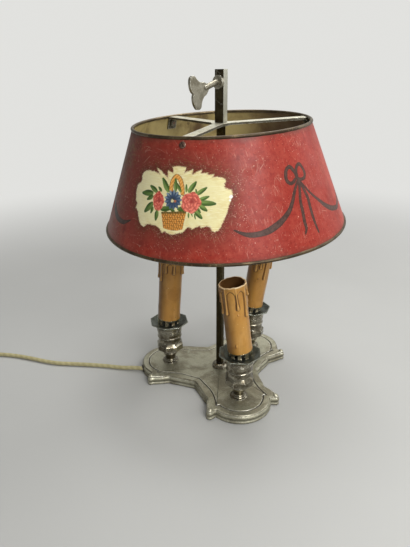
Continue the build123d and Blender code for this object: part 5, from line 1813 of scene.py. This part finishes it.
def candle_sleeves() -> list[CandleSleeve]:
    """The three sleeves, each with its own runs of wax.

    Returns:
        The sleeves.
    """
    return [
        CandleSleeve("right", (
            Drip(-140, 20, 1.0, 1.5), Drip(-116, 30, 1.3, 1.7), Drip(-86, 29, 0.95, 1.5, -0.5),
            Drip(-40, 24, 1.1, 1.8, 0.8), Drip(1, 33, 0.9, 1.6), Drip(32, 14, 1.3, 1.8),
            Drip(62, 25, 1.0, 1.6), Drip(98, 17, 1.2, 1.8), Drip(140, 28, 1.0, 1.6),
            Drip(180, 14, 1.2, 1.8)),
            ((-38, 29.0, 1.0), (-2, 42.0, 1.0), (-6, 48.0, 0.7), (-62, 64.0, 1.3), (90, 45.0, 1.0)),
            seed=3),
        CandleSleeve("left", (
            Drip(-133, 26, 1.2, 1.7), Drip(-98, 27, 1.0, 1.5), Drip(-70, 16, 1.3, 1.7),
            Drip(-30, 17, 1.5, 1.9), Drip(18, 18, 1.1, 1.6), Drip(46, 21, 1.3, 1.9),
            Drip(88, 15, 1.1, 1.7), Drip(124, 27, 1.0, 1.5), Drip(164, 18, 1.2, 1.7),
            Drip(200, 23, 1.1, 1.6)),
            ((-60, 33.0, 0.8), (10, 50.0, 0.8), (120, 40.0, 0.9)), seed=11),
        CandleSleeve("rear", (
            Drip(-128, 22, 1.3, 1.8), Drip(-74, 28, 1.7, 2.0), Drip(-50, 24, 1.3, 1.6),
            Drip(-22, 37, 1.0, 1.4), Drip(30, 26, 1.4, 2.0), Drip(72, 17, 1.1, 1.7),
            Drip(108, 28, 1.0, 1.6), Drip(152, 15, 1.2, 1.8), Drip(194, 24, 1.1, 1.6)),
            ((-50, 36.0, 1.0), (-62, 39.0, 0.8), (-30, 44.0, 0.6), (100, 50.0, 0.9)), seed=23),
    ]


# ---------------------------------------------------------------- base plate
@dataclass
class TrefoilPlate:
    """The trefoil base: a stepped edge, a raised border band, an engraved line and six scrolls."""

    # the angle of one lobe's axis, from which copies are counted
    first_lobe: float = math.radians(-30)
    lobe: Point = (33.8, 65.0)
    cusp: float = 43.3
    horn: tuple = ((76.2, 36.4), (73.9, 40.3), (69.6, 39.0))
    horn_back: tuple = ((60.6, 36.4), (52.0, 33.0))
    waist: tuple = ((48.4, 34.3), (38.2, 35.2))
    line_lobe: Point = (25.7, 72.0)
    line_cusp: float = 35.2
    line_jog: Point = (67.8, 28.2)
    line_waist: tuple = ((58.4, 26.1), (51.0, 25.3), (42.0, 25.3), (33.5, 26.9))
    # how far in from the outline, and how high
    edge: tuple = ((3.0, 7.2), (2.8, 0.35), (1.3, 0.0), (0.5, 0.0), (0.05, 0.5), (-0.05, 1.3),
                   (0.05, 2.0), (0.8, 2.7), (0.85, 3.3), (0.25, 4.1), (-0.05, 5.0), (-0.05, 6.3),
                   (0.2, 7.3), (0.75, 8.0), (0.95, 8.35), (0.75, 8.7), (0.85, 9.3), (1.15, 9.75),
                   (1.6, 9.97))
    # share of the way from the edge to the engraved line, and how high
    band: tuple = ((0.05, 10.05), (0.13, 10.08), (0.3, 10.0), (0.6, 9.98), (0.85, 10.02),
                   (0.95, 10.0), (1.0, 9.85))
    # how far out from the middle of the engraved line, and how high
    groove: tuple = ((0.55, 9.5), (0.3, 9.15), (0.0, 9.05), (-0.3, 9.15), (-0.55, 9.5),
                     (-0.75, 9.85))
    # a scroll's stem: where it runs and how thick it is
    scroll_stem: tuple = ((57.0, 34.0, 0.25), (60.5, 34.9, 0.5), (64.0, 35.9, 0.6), (67.2, 37.2, 0.7))
    # its curl: the middle, the first and last radius and thickness, how round it is, the first
    # angle and the turn of each step, and the steps
    scroll_eye: Point = (72.5, 36.6)
    scroll_radii: Point = (3.0, 0.7)
    scroll_thickness: Point = (0.8, 0.5)
    scroll_roundness: float = 0.86
    scroll_turn: Point = (168.0, -17.5)
    scroll_steps: int = 26
    scroll_sink: float = 0.05
    # radius of each ring of a bead, and its height over the plate
    bead: tuple = ((2.4, -0.4), (2.5, 0.5), (2.2, 1.2), (1.5, 1.8), (0.6, 2.1))

    def on_circle(self, radius: float, angle: float) -> Point:
        """A point of a circle about the lobe's centre."""
        turn = math.radians(angle)
        return SOCKET_CIRCLE + radius * math.cos(turn), radius * math.sin(turn)

    def half(self, inner: bool) -> list[Point]:
        """Half a lobe's outline, or its engraved line, from the lobe's axis to the cusp.

        Args:
            inner: True for the engraved line, False for the outline.

        Returns:
            The points.
        """
        radius, end = self.line_lobe if inner else self.lobe
        arc = [self.on_circle(radius, end * i / 24) for i in range(24)]
        last = self.on_circle(radius, end)
        cusp_radius = self.line_cusp if inner else self.cusp
        cusp = (cusp_radius * math.cos(math.radians(60)), cusp_radius * math.sin(math.radians(60)))
        if inner:
            jog, waist = self.line_jog, self.line_waist
            return (arc + straight(last, jog, 8) + arc_points(jog, waist[0], waist[1], 12)
                    + arc_points(waist[1], waist[2], waist[3], 13) + straight(waist[3], cusp, 12)
                    + [cusp])
        horn, (back, notch) = self.horn, self.horn_back
        return (arc + straight(last, horn[0], 4) + arc_points(*horn, 8)
                + arc_points(horn[-1], back, notch, 8) + straight(notch, self.waist[0], 3)
                + arc_points(self.waist[0], self.waist[1], cusp, 22) + [cusp])

    def loop(self, inner: bool) -> np.ndarray:
        """The whole closed outline, anticlockwise.

        Args:
            inner: True for the engraved line, False for the outline.

        Returns:
            The points.
        """
        half = [complex(*point) for point in self.half(inner)]
        sector = np.array([point.conjugate() for point in half[:0:-1]] + half[:-1])
        points = np.concatenate([sector * cmath.exp(1j * math.radians(azimuth - 90))
                                 for azimuth in (-60.0, 60.0, 180.0)])
        return np.column_stack([points.real, points.imag])

    def outwards(self, loop: np.ndarray) -> np.ndarray:
        """The outward direction at each point of a closed outline."""
        along = np.roll(loop, -1, axis=0) - np.roll(loop, 1, axis=0)
        out = np.stack([along[:, 1], -along[:, 0]], axis=-1)
        return out / np.maximum(np.linalg.norm(out, axis=1, keepdims=True), 1e-9)

    def plate(self) -> None:
        """The plate's whole skin, hollow underneath."""
        outer, line = self.loop(False), self.loop(True)
        out, line_out = self.outwards(outer), self.outwards(line)
        rings = [(outer - out * inwards, height) for inwards, height in self.edge]
        start, end = rings[-1][0], line + line_out * 0.75
        rings += [(start + (end - start) * share, height) for share, height in self.band]
        rings += [(line + line_out * side, height) for side, height in self.groove]
        inside = rings[-1][0]
        rings += [(inside * scale, PLATE_HEIGHT) for scale in (0.97, 0.85, 0.6, 0.3)]
        count = len(outer)
        rows = [np.column_stack([points, np.full(count, height)]) for points, height in rings]
        rows.append(np.array([(0.0, 0.0, PLATE_HEIGHT), (0.0, 0.0, self.edge[0][1])]))
        pole = len(rings) * count
        faces = ring_faces(len(rings), count, closed=False)
        faces += fan(pole - count, count, pole) + fan(0, count, pole + 1)
        piece = make_piece("trefoil_plate", (np.concatenate(rows), faces),
                           ("plate_brass", "engraved_brass", "worn_brass"), crease=50.0)
        slots = np.zeros(len(faces), np.int32)
        engraved = (len(self.edge) + len(self.band)) * count
        slots[engraved:engraved + 4 * count] = 1
        shoulder = (len(self.edge) - 3) * count
        slots[shoulder:shoulder + 3 * count] = 2
        piece.data.polygons.foreach_set("material_index", slots)
        settle(piece, Body.BASE.value, "base_plate", slot="patinated_brass")

    def scrolls(self) -> None:
        """A fine raised scroll on each horn, curled round its eye."""
        x, y = self.scroll_eye
        path = list(self.scroll_stem)
        steps = range(self.scroll_steps + 1)
        radii, thicknesses = (np.linspace(*ends, len(steps)).tolist()
                              for ends in (self.scroll_radii, self.scroll_thickness))
        for step, radius, thickness in zip(steps, radii, thicknesses):
            angle = math.radians(self.scroll_turn[0] + self.scroll_turn[1] * step)
            path.append((x + radius * math.cos(angle),
                         y + radius * math.sin(angle) * self.scroll_roundness, thickness))
        count = len(path)
        height = PLATE_HEIGHT - self.scroll_sink
        rows = [(x, side * y, height) for side in (1, -1) for x, y, _ in path]
        edges = [(i, i + 1) for i in range(2 * count - 1) if i != count - 1]
        piece = scroll_wires().piece(
            "horn_scrolls", "plate_brass", Matrix.Identity(4), (np.array(rows), []), edges=edges,
            thick=[thick for *_, thick in path] * 2, Count=3, Start=self.first_lobe, Wire_Radius=MM)
        settle(piece, Body.BASE.value, slot="patinated_brass")

    def beads(self) -> None:
        """A round bead at the eye of each scroll."""
        x, y = self.scroll_eye
        rows, faces = lathe([(radius, PLATE_HEIGHT + rise, 0) for radius, rise in self.bead], 20,
                            closed=False)
        pair = join_parts(*((rows + np.array((x, side * y, 0.0)), faces) for side in (1, -1)))
        piece = repeat_round().piece("horn_beads", "plate_brass", Matrix.Identity(4), pair, Count=3,
                                     Radius=0.0, Start=self.first_lobe)
        settle(piece, Body.BASE.value, slot="patinated_brass")

    def build(self) -> None:
        """Makes the plate, its scrolls and their beads."""
        self.plate()
        self.scrolls()
        self.beads()


# ---------------------------------------------------------------- sockets
@dataclass
class Light:
    """One light's metalwork: a baluster socket, its drip pan and the slotted crown."""

    name: str
    # radius or half-flats, height, share of the eight-sided shape
    baluster: tuple = (
        (3.6, 0.0, 0), (9.3, 0.0, 0), (9.4, 0.4, 0), (9.2, 0.9, 0), (8.6, 1.3, 0), (7.6, 1.5, 0),
        (7.2, 1.9, 0), (7.1, 2.5, 0), (6.2, 2.9, 0), (5.7, 3.5, 0), (5.6, 4.6, 0), (5.85, 6.0, 0),
        (6.5, 7.6, 0), (7.3, 9.2, 0), (7.85, 10.6, 0), (7.95, 11.6, 0), (7.5, 12.6, 0),
        (6.9, 13.2, 0.1), (7.6, 13.6, 0.6), (9.6, 14.9, 1), (12.2, 16.6, 1), (13.9, 17.7, 1),
        (14.4, 18.2, 1), (14.25, 19.0, 1), (14.2, 21.2, 1), (14.25, 23.4, 1), (14.4, 24.2, 1),
        (14.1, 24.7, 1), (13.4, 25.6, 0.85), (12.8, 26.6, 0.5), (12.4, 27.5, 0.1), (12.5, 28.0, 0),
        (13.0, 28.3, 0), (13.25, 28.8, 0), (13.1, 29.4, 0), (12.95, 30.6, 0), (13.15, 33.0, 0),
        (13.5, 33.5, 0), (13.95, 34.0, 0), (14.0, 34.9, 0), (13.6, 35.3, 0), (13.4, 35.8, 0),
        (13.5, 37.6, 0), (13.8, 39.6, 0), (13.6, 40.1, 0), (13.7, 40.6, 0), (14.05, 41.0, 0),
        (14.0, 43.5, 0), (14.0, 46.3, 0), (14.35, 46.9, 0), (14.45, 47.6, 0), (14.4, 50.2, 0),
        (12.6, 50.2, 0), (11.2, 33.0, 0), (3.6, 33.0, 0),
    )
    pan_ring: tuple = (
        (3.6, 0.0, 0), (13.6, 0.0, 0.2), (14.1, 0.05, 1), (17.2, 1.0, 1), (20.3, 1.95, 1),
        (20.65, 2.2, 1), (20.7, 2.75, 1), (20.6, 3.1, 1), (20.3, 3.25, 1), (20.1, 3.2, 0.75),
        (19.5, 3.05, 0.12), (18.4, 2.5, 0), (16.8, 1.75, 0), (15.6, 1.32, 0), (15.0, 1.25, 0),
        (3.6, 1.25, 0),
    )
    # a tab's width, drop and thickness
    tab: Triple = (3.6, 6.4, 0.8)
    tabs: int = 10
    tab_circle: float = 11.7
    first_tab: float = 0.3
    # how far out a tab's foot reaches on its under and upper side
    foot: Point = (0.9, 1.0)
    # the dish's height over the socket
    dish: float = 1.3
    segments: int = 96
    # the rings round the cup: radius, thickness, height of the first, and how far apart
    cup_ring: tuple = (13.95, 0.24, 42.1, 1.15)

    def socket(self) -> None:
        """The turned socket with its faceted knob."""
        rows, faces = lathe(self.baluster, self.segments, closed=True)
        rows = placed(rows, socket_frame(self.name, PLATE_HEIGHT))
        piece = make_piece("baluster_" + self.name, (rows, faces), ("socket_brass",), crease=24.0)
        settle(piece, Body.BASE.value, "socket_" + self.name, slot="patinated_brass")

    def cup_rings(self) -> None:
        """Fine turned rings on the upper band of the cup."""
        radius, wire, height, apart = self.cup_ring
        turns = [math.tau * step / 8 for step in range(8)]
        ring = lathe([(radius + wire * math.cos(t), wire * math.sin(t), 0) for t in turns],
                     self.segments, closed=True)
        place = socket_frame(self.name, PLATE_HEIGHT) @ raised(height)
        piece = repeat_along().piece("cup_rings_" + self.name, "socket_brass", place, ring, Count=4,
                                     Step=(0.0, 0.0, apart * MM), Widening=0.003)
        settle(piece, Body.BASE.value, slot="patinated_brass")

    def pan(self) -> None:
        """The eight-sided drip pan with a round dish."""
        rows, faces = lathe(self.pan_ring, self.segments, closed=True)
        uneven = 0.12 * np.sin(3 * np.arctan2(rows[:, 1], rows[:, 0]) + len(self.name))
        rows[:, 2] += uneven * np.clip(np.hypot(rows[:, 0], rows[:, 1]) / 20.0 - 0.7, 0, 1) * 3
        rows = placed(rows, socket_frame(self.name, SOCKET_TOP))
        piece = make_piece("pan_" + self.name, (rows, faces), ("pan_brass",), crease=28.0)
        settle(piece, Body.BASE.value, "drip_pan_" + self.name, slot="patinated_brass")

    def crown(self) -> None:
        """The bright tabs under the candle, bent down from its seat into the pan."""
        width, drop, sheet = self.tab
        toe, heel = self.foot
        profile = [(0.0, 0.3), (0.0, -drop + 0.5), (toe, -drop), (heel, -drop + sheet * 0.8),
                   (sheet, -drop + 0.9), (sheet, 0.3)]
        rows = [(x - sheet / 2, side * width / 2, z) for side in (-1, 1) for x, z in profile]
        piece = repeat_round().piece(
            "crown_tabs_" + self.name, "crown_brass", leaning_frame(self.name),
            (np.array(rows), prism_faces(len(profile))), Count=self.tabs,
            Radius=self.tab_circle * MM, Start=self.first_tab)
        # where the candle leans, its tabs are bent on the dish
        dish = (SOCKET_TOP + self.dish) * MM
        for vertex in piece.data.vertices:
            vertex.co.z = max(vertex.co.z, dish)
        settle(piece, Body.BASE.value, slot="bright_brass")

    def build(self) -> None:
        """Makes the light's metalwork."""
        self.socket()
        self.cup_rings()
        self.pan()
        self.crown()


# ---------------------------------------------------------------- mains cord
@dataclass
class MainsCord:
    """The cord from the base to the switch, and on through its coil to the plug."""

    diameter: float = 4.8
    lamp_route: tuple = (
        (-65.695, -57.213, 4.5), (-76.087, -63.213, 4.5), (-90.5, -72.6, 2.4),
        (-112.0, -84.8, 2.4), (-141.5, -106.2, 2.4), (-161.0, -121.5, 2.4),
        (-199.0, -137.0, 2.4), (-222.0, -149.5, 2.4), (-245.5, -167.4, 2.4),
        (-265.4, -180.6, 4.8),
    )
    middle_route: tuple = (
        (-305.6, -206.7, 4.8), (-323.2, -218.3, 2.4), (-335.5, -233.5, 2.4),
        (-336.0, -254.0, 2.4), (-324.0, -272.5, 2.4), (-305.0, -285.5, 2.4),
        (-283.5, -293.0, 2.4), (-261.6, -298.9, 2.4),
    )
    plug_route: tuple = (
        (-241.3, -297.5, 6.6), (-217.9, -291.4, 6.0), (-196.0, -282.4, 2.9),
        (-176.0, -270.2, 6.7), (-153.1, -254.1, 6.7),
    )
    coil_centre: Point = (-249.7, -266.2)
    coil_outer: float = 34.8
    coil_turns: tuple[int, int] = (4, 3)
    coil_rise: float = 4.2
    # at which angles the coil begins and ends, and how far short of whole turns its first layer is
    coil_ends: Point = (262.0, 272.0)
    coil_short: float = 18.0
    points_per_turn: int = 14
    # how long the cord is from the switch to the coil, and from the coil to the plug
    runs: Point = (150.1, 99.5)

    def layer(self, start: float, sweep: float, radii: Point, rise: float, steps: int) -> list[Triple]:
        """One layer of the coil.

        Args:
            start: the first turn's angle, in radians.
            sweep: how far round the layer goes.
            radii: its radius at its two ends.
            rise: how high it lies over the first layer.
            steps: how many points it has.

        Returns:
            Its points.
        """
        x, y = self.coil_centre
        points = []
        for share in (step / steps for step in range(1, steps + 1)):
            radius = radii[0] + (radii[1] - radii[0]) * share
            turn = start + sweep * share
            points.append((x + radius * math.cos(turn), y + radius * math.sin(turn),
                           self.diameter / 2 + min(1.0, 8 * share) * rise))
        return points

    def coil_points(self) -> list[Triple]:
        """The coil's turns: inwards along the table, then outwards on top of them.

        Returns:
            The points, in millimetres.
        """
        lower, upper = self.coil_turns
        inner = self.coil_outer - (lower - 1) * self.diameter
        over = inner + self.diameter / 2
        start, end = (math.radians(angle) for angle in self.coil_ends)
        sweep = math.tau * lower - math.radians(self.coil_short)
        back = math.tau * upper + (end - start - sweep) % math.tau
        return (self.layer(start, sweep, (self.coil_outer, inner), 0.0, self.points_per_turn * lower)
                + self.layer(start + sweep, back, (over, over + (upper - 1) * self.diameter),
                             self.coil_rise, round(self.points_per_turn * back / math.tau)))

    def curve(self, name: str, points: list[Triple], *nodes: str) -> bpy.types.Object:
        """A round cord on a smooth spline with those control points.

        Args:
            name: the cord's name.
            points: the control points, in millimetres.
            *nodes: the CAD nodes that it stands for.

        Returns:
            The new object.
        """
        data = bpy.data.curves.new(name, "CURVE")
        data.dimensions = "3D"
        spline = data.splines.new("NURBS")
        spline.points.add(len(points) - 1)
        for point, place in zip(spline.points, points):
            point.co = (*(c * MM for c in place), 1.0)
        spline.order_u = 3
        spline.use_endpoint_u = True
        spline.resolution_u = 8
        data.bevel_depth = self.diameter * MM / 2
        data.bevel_resolution = 5
        data.use_fill_caps = True
        data.materials.append(material("gold_flex"))
        cord = linked(name, data)
        settle(cord, Body.BASE.value, *nodes, slot="gold_cord")
        return cord

    def length(self) -> float:
        """The real length of the cord beyond the switch, in metres."""
        middle = self.coil_outer - (self.coil_turns[0] - 1) * self.diameter / 2
        return (math.tau * sum(self.coil_turns) * middle + sum(self.runs)) * MM

    def build(self) -> None:
        first = self.curve("flex_to_switch", list(self.lamp_route), "cord_lamp")
        [c * MM for c in self.lamp_route[0]]
        points = [*self.middle_route, *self.coil_points(), *self.plug_route]
        second = self.curve("flex_to_plug", points, "cord_middle", "cord_coil", "cord_plug")
        [c * MM for c in self.middle_route[0]]
        self.length()


# ---------------------------------------------------------------- start
def dress_nodes(frame: dict) -> None:
    """Gives each CAD piece that stays its finish.

    Args:
        frame: what the frame holds.
    """
    wanted = {
        "plate_brass": "base_plate", "rod_brass": "centre_rod", "slider_brass": "slider_tube",
        "key_brass": "key_boss thumb_key", "spider_steel": "shade_spider", "nut_steel": "shade_nuts",
        "screw_brass": "shade_screws", "rim_brass": "top_rim bottom_rim", "green_felt": "base_felt",
        "dark_plastic": "cord_bush lead_splice inner_leads switch_rocker", "gold_flex": "mains_sheath",
        "brown_plastic": "switch_base switch_cover plug_body plug_relief",
        "pin_metal": "switch_terminals plug_pins centre_contacts", "lacquered_inside": "shade_shell",
        "socket_brass": "rod_collar",
    }
    finishes = {node: finish for finish, nodes in wanted.items() for node in nodes.split()}
    for node, finish in (("socket_", "socket_brass"), ("drip_pan_", "pan_brass"),
                         ("candle_seat_", "crown_brass"), ("lampholder_", "dark_plastic"),
                         ("screw_shell_", "pin_metal"), ("candle_sleeve_", "aged_wax")):
        finishes |= {node + name: finish for name in CANDLE_AZIMUTHS}
    for node, piece in frame["nodes"].items():
        piece.data.materials.clear()
        piece.data.materials.append(material(finishes.get(node, "plain_steel")))
    log.info("%d CAD pieces dressed", len(frame["nodes"]))


def main() -> None:
    """Builds the lamp."""
    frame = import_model()
    bpy.context.scene.view_settings.view_transform = "Standard"
    Studio().build()
    MainsCord().build()
    dress_nodes(frame)
    Shade().build()
    TrefoilPlate().build()
    for name in CANDLE_AZIMUTHS:
        Light(name).build()
    for sleeve in candle_sleeves():
        sleeve.build()


if __name__ == "__main__":
    logging.basicConfig(level=logging.INFO)
    main()
